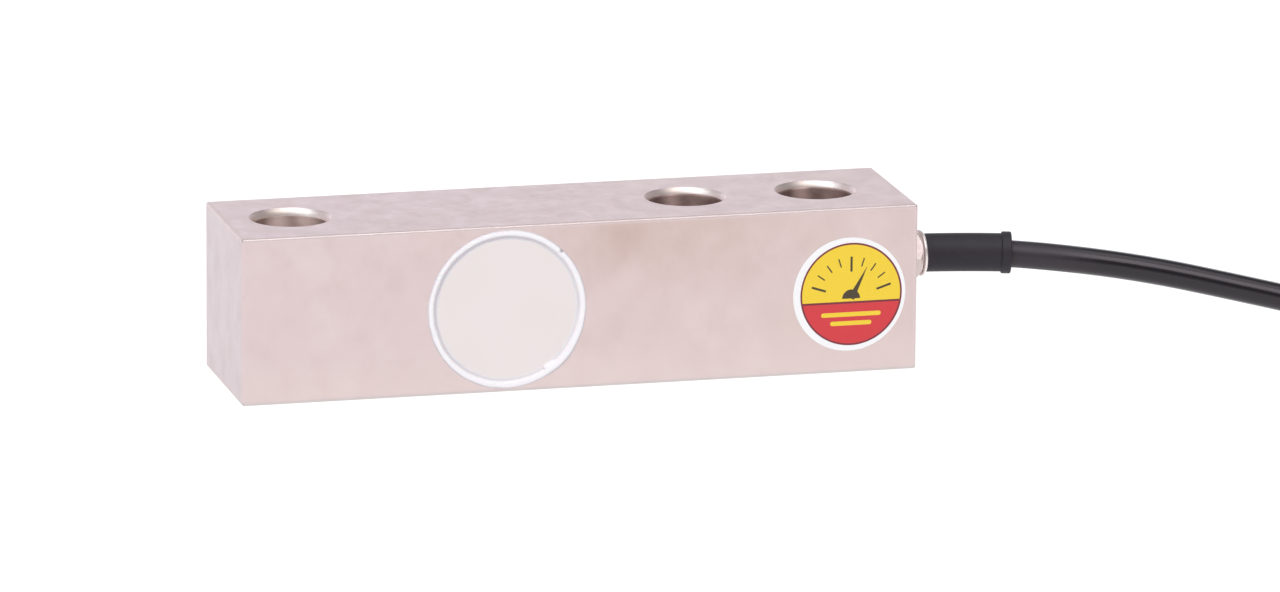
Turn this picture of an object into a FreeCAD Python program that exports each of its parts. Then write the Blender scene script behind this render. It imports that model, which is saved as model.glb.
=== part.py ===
import FreeCAD, Part
import Sketcher
import math
import os

# Cantilever beam load cell: a milled steel shear beam with a strain gauge pocket in
# each side, covered and sealed, and a cable that leaves the end through a gland.
# Millimetres. Origin at the middle of the beam's underside, +X towards the cable end,
# +Z up, the side with the sticker towards -Y.

V = FreeCAD.Vector
doc = FreeCAD.newDocument("load_cell")

# ---------------------------------------------------------------- driving dimensions
sheet = doc.addObject("Spreadsheet::Sheet", "dims")
values = [
    # bar
    ("beam_length", 130.0),
    ("beam_width", 31.8),
    ("beam_height", 31.8),
    ("edge_break", 0.45),
    # bolt holes
    ("hole_bore", 14.0),
    ("hole_rim", 15.5),
    ("rim_depth", 1.4),
    ("load_hole_x", -52.3),
    ("inner_hole_x", 23.9),
    ("outer_hole_x", 49.3),
    # gauge pockets and their covers
    ("cover_x", -14.5),
    ("pocket_bore", 22.0),
    ("pocket_corner", 0.5),
    ("web_thick", 5.0),
    ("seat_bore", 28.8),
    ("seat_depth", 1.2),
    ("disc_bore", 28.2),
    ("disc_thick", 1.0),
    ("bead_inner", 26.4),
    ("bead_outer", 30.4),
    ("bead_proud", 0.4),
    ("crossover_bore", 2.4),
    ("crossover_shift", 8.2),
    # sticker
    ("sticker_x", 51.75),
    ("sticker_z", 15.2),
    ("sticker_bore", 21.9),
    ("sticker_thick", 0.12),
    # cable entry
    ("gland_y", 10.0),
    ("gland_z", 15.9),
    ("entry_bore", 8.0),
    ("entry_depth", 8.0),
    ("wireway_bore", 3.0),
    ("shank_bore", 7.9),
    ("body_hex", 10.0),
    ("nut_hex", 8.2),
    ("nut_groove", 7.3),
    ("collar_bore", 7.9),
    ("collar_rise", 8.8),
    ("cable_bore", 5.2),
    # boot
    ("boot_root_x", 73.65),
    ("boot_straight", 0.4),
    ("boot_turn", 6.0),
    ("boot_turn_r", 10.0),
    ("boot_sweep", 7.0),
    ("boot_sweep_r", 118.0),
    ("boot_reach", 1.1),
    ("boot_lean", 4.5),
    ("boot_outer", 7.36),
    ("boot_inner", 6.3),
    ("lip_outer", 8.05),
    ("lip_length", 1.9),
    # gauges and boards on the web
    ("gauge_size", 9.0),
    ("gauge_thick", 0.1),
    ("foil_thick", 0.05),
    ("board_long", 8.4),
    ("board_short", 3.6),
    ("board_thick", 0.8),
    ("board_shift", 7.6),
    ("trim_shift", 7.8),
    ("core_bore", 1.0),
    # put-away cable
    ("hank_x", 230.5),
    ("hank_y", 3.0),
    ("hank_run", 95.0),
    ("hank_lift", 0.8),
    ("hank_fold", 15.7),
    ("turn_pitch", 5.3),
    ("layer_pitch", 5.25),
    ("layer_count", 5.0),
    ("tie_thick", 0.8),
    ("tie_wide", 6.0),
    ("sleeve_outer", 6.4),
    ("lead_bore", 1.1),
]
for row, (name, value) in enumerate(values, start=1):
    sheet.set("A%d" % row, name)
    sheet.set("B%d" % row, "%g" % value)
    sheet.setAlias("B%d" % row, name)
doc.recompute()


class Dim:
    """A length with its number and the text of the expression that gives it."""

    def __init__(self, number, text):
        self.number, self.text = float(number), text

    def of(other):
        return other if isinstance(other, Dim) else Dim(other, "(%.6g)" % other)

    def __add__(self, o):
        o = Dim.of(o)
        return Dim(self.number + o.number, "(%s + %s)" % (self.text, o.text))

    def __sub__(self, o):
        o = Dim.of(o)
        return Dim(self.number - o.number, "(%s - %s)" % (self.text, o.text))

    def __mul__(self, k):
        return Dim(self.number * k, "(%s * %.6g)" % (self.text, k))

    def __truediv__(self, k):
        return Dim(self.number / k, "(%s / %.6g)" % (self.text, k))

    def __neg__(self):
        return Dim(-self.number, "(0 - %s)" % self.text)

    __radd__ = __add__

    def __rsub__(self, o):
        return Dim.of(o) - self


def D(name):
    return Dim(sheet.get(name), "dims." + name)


def num(name):
    return float(sheet.get(name))


made = []  # the sub-parts, in the order in which they are written


def keep(obj, label):
    obj.Label = label
    made.append(obj)
    return obj


# ---------------------------------------------------------------- sketch helpers
def new_body(name):
    return doc.addObject("PartDesign::Body", name)


def plane(body, role):
    for feature in body.Origin.OriginFeatures:
        if feature.Role == role:
            return feature
    raise RuntimeError("no plane " + role)


def new_sketch(body, name, role, offset=(0, 0, 0), turn=None):
    """A sketch on one of the body's own planes, shifted by offset in the plane's own axes."""
    sk = body.newObject("Sketcher::SketchObject", name)
    sk.AttachmentSupport = [(plane(body, role), "")]
    sk.MapMode = "FlatFace"
    base = V(*[Dim.of(o).number for o in offset])
    sk.AttachmentOffset = FreeCAD.Placement(base, turn or FreeCAD.Rotation())
    for axis, o in zip("xyz", offset):
        if isinstance(o, Dim):
            sk.setExpression("AttachmentOffset.Base." + axis, o.text)
    return sk


def pin(sk, geo, pos, x, y):
    """Fix a point of the sketch at (x, y), each a number or a Dim."""
    for kind, value, axis in (("DistanceX", Dim.of(x), -2), ("DistanceY", Dim.of(y), -1)):
        if abs(value.number) < 1e-9:
            sk.addConstraint(Sketcher.Constraint("PointOnObject", geo, pos, axis))
            continue
        i = sk.addConstraint(Sketcher.Constraint(kind, -1, 1, geo, pos, value.number))
        sk.setExpression("Constraints[%d]" % i, value.text)


def outline(sk, points):
    """A closed outline. A point (x, y, True) is passed by an arc from the point before it to the point after it."""
    corners = [p for p in points if len(p) == 2]
    first = sk.GeometryCount
    order = []
    for i, p in enumerate(points):
        if len(p) == 3:
            continue
        nxt = points[(i + 1) % len(points)]
        a = V(Dim.of(p[0]).number, Dim.of(p[1]).number, 0)
        if len(nxt) == 3:
            end = points[(i + 2) % len(points)]
            m = V(Dim.of(nxt[0]).number, Dim.of(nxt[1]).number, 0)
            b = V(Dim.of(end[0]).number, Dim.of(end[1]).number, 0)
            arc = Part.Arc(a, m, b).toShape().Edges[0].Curve
            circle = Part.Circle(arc.Center, V(0, 0, 1), arc.Radius)
            u0, u1 = circle.parameter(a), circle.parameter(b)
            um = circle.parameter(m)
            ccw = (um - u0) % (2 * math.pi) < (u1 - u0) % (2 * math.pi)
            geo = Part.ArcOfCircle(circle, u0, u1) if ccw else Part.ArcOfCircle(circle, u1, u0)
            g = sk.addGeometry(geo, False)
            order.append((g, 1 if ccw else 2, 2 if ccw else 1, p, nxt))
        else:
            b = V(Dim.of(nxt[0]).number, Dim.of(nxt[1]).number, 0)
            g = sk.addGeometry(Part.LineSegment(a, b), False)
            order.append((g, 1, 2, p, None))
    for i, (g, start, end, p, via) in enumerate(order):
        g2, start2 = order[(i + 1) % len(order)][:2]
        sk.addConstraint(Sketcher.Constraint("Coincident", g, end, g2, start2))
    for g, start, end, p, via in order:
        pin(sk, g, start, p[0], p[1])
        if via is not None:
            x, y = Dim.of(via[0]), Dim.of(via[1])
            q = sk.addGeometry(Part.Point(V(x.number, y.number, 0)), True)
            pin(sk, q, 1, via[0], via[1])
            sk.addConstraint(Sketcher.Constraint("PointOnObject", q, 1, g))
    return first, corners


def turned(body, name, sk, axis, cut=False):
    """A full turn of a sketch about its own H_Axis or V_Axis, added or cut. A cut has to remove material."""
    before = body.Shape.Volume if cut else 0.0
    kind = "PartDesign::Groove" if cut else "PartDesign::Revolution"
    feature = body.newObject(kind, name)
    feature.Profile = sk
    feature.ReferenceAxis = (sk, [axis])
    feature.Angle = 360.0
    doc.recompute()
    if cut and body.Shape.Volume > before - 1e-3:
        raise RuntimeError(name + " cut nothing")
    return feature


def ring_on_x(name, profile):
    """A body turned about the cable entry's axis: profile points are (x, radius)."""
    body = new_body(name)
    sk = new_sketch(body, name + "_section", "XY_Plane", (0, D("gland_y"), D("gland_z")))
    outline(sk, profile)
    turned(body, name + "_turn", sk, "H_Axis")
    return body


def place(obj, base, rotation=None):
    """Placement with its base bound to expressions."""
    obj.Placement = FreeCAD.Placement(
        V(*[Dim.of(b).number for b in base]), rotation or FreeCAD.Rotation()
    )
    for axis, b in zip("xyz", base):
        if isinstance(b, Dim):
            obj.setExpression("Placement.Base." + axis, b.text)


def bind(obj, **props):
    for key, value in props.items():
        value = Dim.of(value)
        setattr(obj, key, value.number)
        obj.setExpression(key, value.text)


def block(name, base, size):
    """A Part::Box with its lowest corner at base."""
    b = doc.addObject("Part::Box", name)
    bind(b, Length=size[0], Width=size[1], Height=size[2])
    place(b, base)
    return b


def group(kind, name, shapes):
    g = doc.addObject(kind, name)
    g.Shapes = shapes
    return g


def cut(name, base, tool):
    c = doc.addObject("Part::Cut", name)
    c.Base, c.Tool = base, tool
    return c


half_l, half_w = D("beam_length") / 2, D("beam_width") / 2
high = D("beam_height")
mid_z = high / 2

# ---------------------------------------------------------------- beam
beam = new_body("beam")
sk = new_sketch(beam, "bar_outline", "XY_Plane")
outline(sk, [(-half_l, -half_w), (half_l, -half_w), (half_l, half_w), (-half_l, half_w)])
bar = beam.newObject("PartDesign::Pad", "bar")
bar.Profile = sk
bind(bar, Length=high)
doc.recompute()
edges = beam.newObject("PartDesign::Fillet", "broken_edges")
edges.Base = (bar, ["Edge%d" % (i + 1) for i in range(len(bar.Shape.Edges))])
bind(edges, Radius=D("edge_break"))
doc.recompute()

# the three bolt holes, each with a steep rounded rim at both ends
bore, rim = D("hole_bore") / 2, D("hole_rim") / 2
rim_deep = D("rim_depth")
rim_mid_x, rim_mid_z = (bore + rim) / 2 - 0.106, rim_deep / 2 - 0.057
for name in ("load_hole", "inner_hole", "outer_hole"):
    sk = new_sketch(beam, name + "_section", "XZ_Plane", (D(name + "_x"), 0, 0))
    outline(
        sk,
        [
            (0, -1.0),
            (rim, -1.0),
            (rim, 0),
            (rim_mid_x, rim_mid_z, True),
            (bore, rim_deep),
            (bore, high - rim_deep),
            (rim_mid_x, high - rim_mid_z, True),
            (rim, high),
            (rim, high + 1.0),
            (0, high + 1.0),
        ],
    )
    turned(beam, name, sk, "V_Axis", cut=True)

# a gauge pocket in each side, with a seat for its cover, leaving a web in the middle
web = D("web_thick") / 2
pocket, seat = D("pocket_bore") / 2, D("seat_bore") / 2
corner = D("pocket_corner")
ledge = half_w - D("seat_depth")
k = 1 - math.sqrt(0.5)


def side(sign, points):
    return [
        (p[0], (p[1] if sign > 0 else -Dim.of(p[1]))) + tuple(p[2:]) for p in points
    ]


for name, sign in (("front", -1), ("rear", 1)):
    sk = new_sketch(beam, name + "_pocket_section", "XY_Plane", (D("cover_x"), 0, mid_z))
    outline(
        sk,
        side(
            sign,
            [
                (0, web),
                (pocket - corner, web),
                (pocket - corner * k, web + corner * k, True),
                (pocket, web + corner),
                (pocket, ledge),
                (seat, ledge),
                (seat, half_w + 1.0),
                (0, half_w + 1.0),
            ],
        ),
    )
    turned(beam, name + "_pocket", sk, "V_Axis", cut=True)

# the cable entry in the end and the wireway from it, past the bolt holes, to the rear pocket
entry, way = D("entry_bore") / 2, D("wireway_bore") / 2
entry_x = half_l - D("entry_depth")
sk = new_sketch(beam, "entry_section", "XY_Plane", (0, D("gland_y"), D("gland_z")))
way_end = D("cover_x") + 9.0
outline(
    sk,
    [
        (way_end, 0),
        (way_end, way),
        (entry_x, way),
        (entry_x, entry),
        (half_l - 0.4, entry),
        (half_l + 0.6, entry + 1.0),
        (half_l + 0.6, 0),
    ],
)
turned(beam, "cable_entry", sk, "H_Axis", cut=True)

# the hole through the web between the pockets
sk = new_sketch(
    beam, "crossover_section", "XY_Plane", (D("cover_x") - D("crossover_shift"), 0, mid_z)
)
cross = D("crossover_bore") / 2
outline(sk, [(0, -(web + 0.5)), (cross, -(web + 0.5)), (cross, web + 0.5), (0, web + 0.5)])
turned(beam, "crossover_hole", sk, "V_Axis", cut=True)
keep(beam, "beam_body")

# ---------------------------------------------------------------- covers and sealant beads
disc = D("disc_bore") / 2
inner, outer = D("bead_inner") / 2, D("bead_outer") / 2
disc_face = ledge + D("disc_thick")
for name, sign in (("front", -1), ("rear", 1)):
    body = new_body(name + "_disc")
    sk = new_sketch(body, name + "_disc_section", "XY_Plane", (D("cover_x"), 0, mid_z))
    outline(
        sk,
        side(
            sign,
            [
                (0, ledge),
                (disc, ledge),
                (disc, disc_face - 0.15),
                (disc - 0.15, disc_face),
                (0, disc_face),
            ],
        ),
    )
    turned(body, name + "_disc_turn", sk, "V_Axis")
    keep(body, name + "_cover_disc")

for name, sign in (("front", -1), ("rear", 1)):
    body = new_body(name + "_bead")
    sk = new_sketch(body, name + "_bead_section", "XY_Plane", (D("cover_x"), 0, mid_z))
    outline(
        sk,
        side(
            sign,
            [
                (inner, disc_face),
                ((inner + outer) / 2 + 0.1, half_w + D("bead_proud"), True),
                (outer, half_w),
                (seat, half_w),
                (seat, ledge),
                (disc, ledge),
                (disc, disc_face - 0.15),
                (disc - 0.15, disc_face),
            ],
        ),
    )
    turned(body, name + "_bead_turn", sk, "V_Axis")
    keep(body, name + "_seal_bead")

# ---------------------------------------------------------------- sticker
sticker = doc.addObject("Part::Cylinder", "sticker")
bind(sticker, Radius=D("sticker_bore") / 2, Height=D("sticker_thick"))
place(
    sticker,
    (D("sticker_x"), -(half_w + D("sticker_thick")), D("sticker_z")),
    FreeCAD.Rotation(V(1, 0, 0), -90),
)
keep(sticker, "round_sticker")

# ---------------------------------------------------------------- cable gland
wire_r = D("cable_bore") / 2
shank = D("shank_bore") / 2
turn_x = FreeCAD.Rotation(V(0, 1, 0), 90)
seal_gap = 1.0
hex_end = half_l + 4.4  # end of the body's hexagon
neck_end = half_l + 6.5  # end of the threaded neck inside the nut
nut_start = half_l + 4.6
nut_end = half_l + 7.8  # end of the nut's hexagon, start of its groove
root = D("boot_root_x")


def hexagon(name, across, start, end, far_taper=0.62, far_low=0.05, roll=0):
    """A hexagonal length with its corners turned off at both ends; corners up and down at roll 0, flats at 30."""
    p = doc.addObject("Part::Prism", name)
    p.Polygon = 6
    bind(p, Circumradius=across / math.sqrt(3.0), Height=end - start)
    place(p, (start, D("gland_y"), D("gland_z")), turn_x.multiply(FreeCAD.Rotation(V(0, 0, 1), roll)))
    tip = across / math.sqrt(3.0)
    flat = across / 2
    drop = (tip - flat) * 0.62
    far_drop = (tip - flat) * far_taper
    blank = ring_on_x(
        name + "_blank",
        [
            (start - 0.0, 0),
            (start - 0.0, flat - 0.05),
            (start + drop, tip + 0.02),
            (end - far_drop, tip + 0.02),
            (end, flat - far_low),
            (end, 0),
        ],
    )
    c = doc.addObject("Part::MultiCommon", name + "_turned")
    c.Shapes = [p, blank]
    return c


body_hex = hexagon("body_hexagon", D("body_hex"), half_l + seal_gap, hex_end)
body_round = ring_on_x(
    "body_round",
    [
        (half_l - 6.5, 0),
        (half_l - 6.5, shank - 0.5),
        (half_l - 6.0, shank),
        (half_l + seal_gap + 0.5, shank),
        (half_l + seal_gap + 0.5, 3.55),
        (neck_end - 0.2, 3.55),
        (neck_end, 3.4),
        (neck_end, 0),
    ],
)
body_bore = ring_on_x(
    "body_bore",
    [
        (half_l - 7.5, 0),
        (half_l - 7.5, wire_r + 0.2),
        (half_l + 2.2, wire_r + 0.2),
        (half_l + 2.2, 3.1),
        (neck_end + 1.0, 3.1),
        (neck_end + 1.0, 0),
    ],
)
gland_body = cut(
    "gland_body", group("Part::MultiFuse", "body_whole", [body_hex, body_round]), body_bore
)
keep(gland_body, "gland_body")

ring = ring_on_x(
    "seal_ring",
    [
        (half_l, 4.25),
        (half_l - 0.0, 4.95),
        (half_l + seal_gap / 2, 5.2, True),
        (half_l + seal_gap, 4.95),
        (half_l + seal_gap, 4.25),
        (half_l + seal_gap / 2, 4.0, True),
    ],
)
keep(ring, "gland_o_ring")

nut_hex = hexagon("nut_hexagon", D("nut_hex"), nut_start, nut_end, 1.4, 0.16, 30)
groove, collar, rise = D("nut_groove") / 2, D("collar_bore") / 2, D("collar_rise") / 2
nut_round = ring_on_x(
    "nut_round",
    [
        (nut_end - 0.5, 0),
        (nut_end - 0.5, groove),
        (nut_end + 0.1, groove),
        (nut_end + 0.1, rise - 0.15),
        (nut_end + 0.1 + 0.15 * k, rise - 0.15 * k, True),
        (nut_end + 0.25, rise),
        (nut_end + 0.4, rise),
        (root - 0.13, rise - 0.2, True),
        (root, collar - 0.05),
        (root, 3.2),
        (root + 2.0, 3.2),
        (root + 2.2, 3.0),
        (root + 2.2, 0),
    ],
)
nut_bore = ring_on_x(
    "nut_bore",
    [
        (nut_start - 1.0, 0),
        (nut_start - 1.0, 3.6),
        (neck_end + 0.6, 3.6),
        (neck_end + 0.6, wire_r + 0.2),
        (root + 3.0, wire_r + 0.2),
        (root + 3.0, 0),
    ],
)
gland_nut = cut("gland_nut", group("Part::MultiFuse", "nut_whole", [nut_hex, nut_round]), nut_bore)
keep(gland_nut, "gland_nut")

grommet = ring_on_x(
    "grommet",
    [
        (half_l + 2.2, wire_r),
        (half_l + 2.2, 3.0),
        (half_l + 2.5, 3.1),
        (neck_end, 3.1),
        (neck_end, wire_r),
    ],
)
keep(grommet, "cable_grommet")

washer = ring_on_x(
    "washer",
    [(neck_end, wire_r + 0.1), (neck_end, 3.5), (neck_end + 0.6, 3.5), (neck_end + 0.6, wire_r + 0.1)],
)
keep(washer, "clamp_washer")

# ---------------------------------------------------------------- boot
# a rubber sleeve over the nut's tail: it turns a little at its root, then sweeps gently to the
# front and down, up to its lip
turn_r, turn_a = num("boot_turn_r"), math.radians(num("boot_turn"))
sweep_r, sweep_a = num("boot_sweep_r"), math.radians(num("boot_sweep"))
lean = FreeCAD.Rotation(V(1, 0, 0), num("boot_lean"))
whole_turn = turn_a + sweep_a
start = V(num("boot_root_x"), 0, 0)
knee = start + V(num("boot_straight"), 0, 0)
turn_c = knee - V(0, turn_r, 0)
bent = turn_c + V(math.sin(turn_a), math.cos(turn_a), 0) * turn_r
sweep_c = bent - V(math.sin(turn_a), math.cos(turn_a), 0) * sweep_r
swept = sweep_c + V(math.sin(whole_turn), math.cos(whole_turn), 0) * sweep_r
end_at = swept + V(math.cos(whole_turn), -math.sin(whole_turn), 0) * num("boot_reach")
tip = V(0, num("gland_y"), num("gland_z")) + lean.multVec(end_at)
boot = new_body("boot")
spine = new_sketch(boot, "boot_spine", "XY_Plane", (0, D("gland_y"), D("gland_z")), lean)
line = spine.addGeometry(Part.LineSegment(start, knee), False)
pin(spine, line, 1, D("boot_root_x"), 0)
pin(spine, line, 2, D("boot_root_x") + D("boot_straight"), 0)
top_angle = math.pi / 2
bow = spine.addGeometry(
    Part.ArcOfCircle(Part.Circle(turn_c, V(0, 0, 1), turn_r), top_angle - turn_a, top_angle), False
)
spine.addConstraint(Sketcher.Constraint("Coincident", bow, 2, line, 2))
pin(spine, bow, 3, D("boot_root_x") + D("boot_straight"), -D("boot_turn_r"))
spine.addConstraint(Sketcher.Constraint("DistanceX", -1, 1, bow, 1, bent.x))
sweep = spine.addGeometry(
    Part.ArcOfCircle(
        Part.Circle(sweep_c, V(0, 0, 1), sweep_r), top_angle - whole_turn, top_angle - turn_a
    ),
    False,
)
spine.addConstraint(Sketcher.Constraint("Coincident", sweep, 2, bow, 1))
pin(spine, sweep, 3, sweep_c.x, sweep_c.y)
spine.addConstraint(Sketcher.Constraint("DistanceX", -1, 1, sweep, 1, swept.x))
reach = spine.addGeometry(Part.LineSegment(swept, end_at), False)
spine.addConstraint(Sketcher.Constraint("Coincident", reach, 1, sweep, 1))
pin(spine, reach, 2, end_at.x, end_at.y)
spine_edges = ["Edge1", "Edge2", "Edge3", "Edge4"]


def round_section(name, radius):
    s = new_sketch(boot, name, "YZ_Plane", (0, 0, D("boot_root_x")))
    c = s.addGeometry(
        Part.Circle(V(num("gland_y"), num("gland_z"), 0), V(0, 0, 1), radius.number), False
    )
    pin(s, c, 3, D("gland_y"), D("gland_z"))
    i = s.addConstraint(Sketcher.Constraint("Radius", c, radius.number))
    s.setExpression("Constraints[%d]" % i, radius.text)
    return s


doc.recompute()
sleeve = boot.newObject("PartDesign::AdditivePipe", "boot_sleeve")
sleeve.Profile = round_section("boot_section", D("boot_outer") / 2)
sleeve.Spine = (spine, spine_edges)
doc.recompute()
# the lip is a rounded ring square to the sleeve's far end
tilt = lean.multiply(FreeCAD.Rotation(V(0, 0, 1), -math.degrees(whole_turn)))
lip_sk = new_sketch(boot, "lip_section", "XY_Plane", (tip.x, tip.y, tip.z), tilt)
lip, sleeve_r, lip_len = D("lip_outer") / 2, D("boot_outer") / 2, D("lip_length")
round_ = 0.3
outline(
    lip_sk,
    [
        (-lip_len, 0),
        (-lip_len, lip - round_),
        (-lip_len + round_ * k, lip - round_ * k, True),
        (-lip_len + round_, lip),
        (-round_, lip),
        (-round_ * k, lip - round_ * k, True),
        (0, lip - round_),
        (0, 0),
    ],
)
turned(boot, "boot_lip", lip_sk, "H_Axis")
before = boot.Shape.Volume
hollow = boot.newObject("PartDesign::SubtractivePipe", "boot_hollow")
hollow.Profile = round_section("hollow_section", D("boot_inner") / 2)
hollow.Spine = (spine, spine_edges)
doc.recompute()
if boot.Shape.Volume > before - 100:
    raise RuntimeError("the boot's hollow cut nothing")
socket_sk = new_sketch(boot, "socket_section", "XY_Plane", (0, D("gland_y"), D("gland_z")))
outline(socket_sk, [(root - 0.5, 0), (root - 0.5, 3.25), (root + 2.4, 3.25), (root + 2.4, 0)])
turned(boot, "boot_socket", socket_sk, "H_Axis", cut=True)
# the lip's mouth is broken by a small chamfer
mouth = D("boot_inner") / 2
mouth_sk = new_sketch(boot, "mouth_section", "XY_Plane", (tip.x, tip.y, tip.z), tilt)
outline(mouth_sk, [(-0.4, 0), (-0.4, mouth), (0.1, mouth + 0.5), (0.1, 0)])
turned(boot, "boot_mouth", mouth_sk, "H_Axis", cut=True)
keep(boot, "strain_relief_boot")


# ---------------------------------------------------------------- round wires and cables
def rounded_path(points, name=None, most=1e9):
    """Straight runs joined by tangent arcs, each as large as its two runs and most allow."""
    pts = [V(*p) for p in points]
    edges, radii, at = [], [], pts[0]
    for a, b, c in zip(pts, pts[1:], pts[2:]):
        into, out = (b - a), (c - b)
        reach = min(0.45 * min(into.Length, out.Length), most)
        into.normalize()
        out.normalize()
        turn = math.acos(max(-1.0, min(1.0, into.dot(out))))
        radius = reach / math.tan(turn / 2)
        p, q = b - into * reach, b + out * reach
        to_centre = out - into
        to_centre.normalize()
        centre = b + to_centre * (radius / math.cos(turn / 2))
        to_mid = b - centre
        to_mid.normalize()
        edges.append(Part.LineSegment(at, p).toShape())
        edges.append(Part.Arc(p, centre + to_mid * radius, q).toShape())
        radii.append(radius)
        at = q
    edges.append(Part.LineSegment(at, pts[-1]).toShape())
    wire = Part.Wire(edges)
    if name:
        print(
            name,
            "length %.1f" % wire.Length,
            "runs",
            [round((b - a).Length, 1) for a, b in zip(pts, pts[1:])],
            "radii",
            [round(r, 1) for r in radii],
        )
    return wire


def round_wire(points, radius, name=None, most=1e9):
    """A solid round wire along a rounded path, its volume compared with section times length."""
    wire = rounded_path(points, name, most)
    first = V(*points[1]) - V(*points[0])
    section = Part.Wire([Part.makeCircle(radius, V(*points[0]), first)])
    solid = wire.makePipeShell([section], True, False)
    expected = math.pi * radius * radius * wire.Length
    if solid.Volume < 0:
        solid = solid.reversed()
    if abs(solid.Volume - expected) > 0.01 * expected:
        raise RuntimeError("%s volume %.1f, expected %.1f" % (name, solid.Volume, expected))
    return Part.Solid(solid.Shells[0]) if solid.Shells else solid


def feature(label, shape):
    f = doc.addObject("Part::Feature", label)
    f.Shape = shape
    f.Placement = FreeCAD.Placement()
    return keep(f, label)


gy, gz = num("gland_y"), num("gland_z")
cx, cz = num("cover_x"), num("beam_height") / 2
cable_r = num("cable_bore") / 2

# ---------------------------------------------------------------- gauges on the web
gauge, gauge_t = D("gauge_size"), D("gauge_thick")
for name, sign in (("front", -1), ("rear", 1)):
    y0 = web if sign > 0 else -(web + gauge_t)
    carrier = block(
        name + "_carrier",
        (D("cover_x") - gauge / 2, y0, mid_z - gauge / 2),
        (gauge, gauge_t, gauge),
    )
    keep(carrier, name + "_gauge_carrier")


def grid(turn, middle, strands, length, width, pitch):
    """A meander of foil strands, closed outline, turned in its own plane, with a solder tab at each end."""
    left, right = [], []
    x0 = -(strands - 1) / 2 * pitch
    h = width / 2
    # centre line of the meander, from the first tab to the last
    line = [(x0, -length / 2 - 1.2)]
    for i in range(strands):
        x = x0 + i * pitch
        up = i % 2 == 0
        line.append((x, length / 2 if up else -length / 2))
        if i < strands - 1:
            line.append((x + pitch, length / 2 if up else -length / 2))
    last = x0 + (strands - 1) * pitch
    line.append((last, -length / 2 - 1.2))
    line = [p for i, p in enumerate(line) if i == 0 or p != line[i - 1]]
    pieces = []
    for (ax, ay), (bx, by) in zip(line, line[1:]):
        lo = (min(ax, bx) - h, min(ay, by) - h)
        hi = (max(ax, bx) + h, max(ay, by) + h)
        pieces.append((lo, hi))
    for x in (x0 - 0.45, last - 0.45):
        pieces.append(((x, -length / 2 - 2.0), (x + 0.9, -length / 2 - 1.1)))
    flat = []
    for lo, hi in pieces:
        face = Part.Face(
            Part.makePolygon(
                [
                    V(lo[0], 0, lo[1]),
                    V(hi[0], 0, lo[1]),
                    V(hi[0], 0, hi[1]),
                    V(lo[0], 0, hi[1]),
                    V(lo[0], 0, lo[1]),
                ]
            )
        )
        flat.append(face)
    whole = flat[0].multiFuse(flat[1:]).removeSplitter()
    whole.rotate(V(0, 0, 0), V(0, 1, 0), turn)
    whole.translate(V(middle[0], 0, middle[1]))
    return whole


for name, sign in (("front", -1), ("rear", 1)):
    face_y = sign * (num("web_thick") / 2 + num("gauge_thick"))
    solids = []
    for turn, middle in ((45, (cx - 0.2, cz + 1.9)), (135, (cx - 0.2, cz - 1.9))):
        shape = grid(turn, middle, 5, 2.2, 0.16, 0.42)
        shape.translate(V(0, face_y, 0))
        solids += shape.extrude(V(0, sign * num("foil_thick"), 0)).Solids
    feature(name + "_gauge_foil", Part.Compound(solids))

# ---------------------------------------------------------------- solder boards and trimming resistors
long_, short_, thick_ = D("board_long"), D("board_short"), D("board_thick")
for name, sign in (("front", -1), ("rear", 1)):
    y0 = web if sign > 0 else -(web + thick_)
    board = block(
        name + "_board",
        (D("cover_x") + D("board_shift") - short_ / 2, y0, mid_z - long_ / 2),
        (short_, thick_, long_),
    )
    keep(board, name + "_terminal_board")
trim_z = mid_z + D("trim_shift")
trim_board = block(
    "trim_board", (D("cover_x") - long_ / 2, web, trim_z - short_ / 2), (long_, thick_, short_)
)
keep(trim_board, "compensation_board")
chips = []
for i in (-1, 0, 1):
    chip = doc.addObject("Part::Box", "chip_%d" % (i + 2))
    bind(chip, Length=1.25, Width=0.5, Height=2.0)
    place(chip, (D("cover_x") + i * 2.6 - 0.625, web + thick_, trim_z - 1.0))
    chips.append(chip)
resistors = doc.addObject("Part::Compound", "resistors")
resistors.Links = chips
keep(resistors, "trim_resistors")

# ---------------------------------------------------------------- fine wires
wt, gt, ft, bt = num("web_thick") / 2, num("gauge_thick"), num("foil_thick"), num("board_thick")
fine = 0.2
hole_x = cx - num("crossover_shift")
level = wt + gt + ft + fine + 0.02
wires = []
for dx, dz in ((-0.4, -0.5), (-0.4, 0.5), (0.45, -0.5), (0.45, 0.5)):
    lift = 0.55 if dx < 0 else 0.0
    z, x = cz + dz, hole_x + dx
    end = cx - 4.0
    wires.append(
        round_wire(
            [
                (end, -(level + lift), z),
                (x, -(level + lift), z),
                (x, level + lift, z),
                (end, level + lift, z),
            ],
            fine,
            "crossover wire",
            0.8,
        )
    )
feature("crossover_wires", Part.Compound(wires))
for name, sign in (("front", -1), ("rear", 1)):
    wires = []
    for dz in (-3.0, -1.0, 1.0, 3.0):
        a = V(cx + 3.3, sign * level, cz + dz)
        b = V(cx + num("board_shift") - 1.3, sign * (wt + bt + fine + 0.3), cz + dz)
        wires.append(Part.makeCylinder(fine, (b - a).Length, a, b - a))
    feature(name + "_jumper_wires", Part.Compound(wires))

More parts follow.
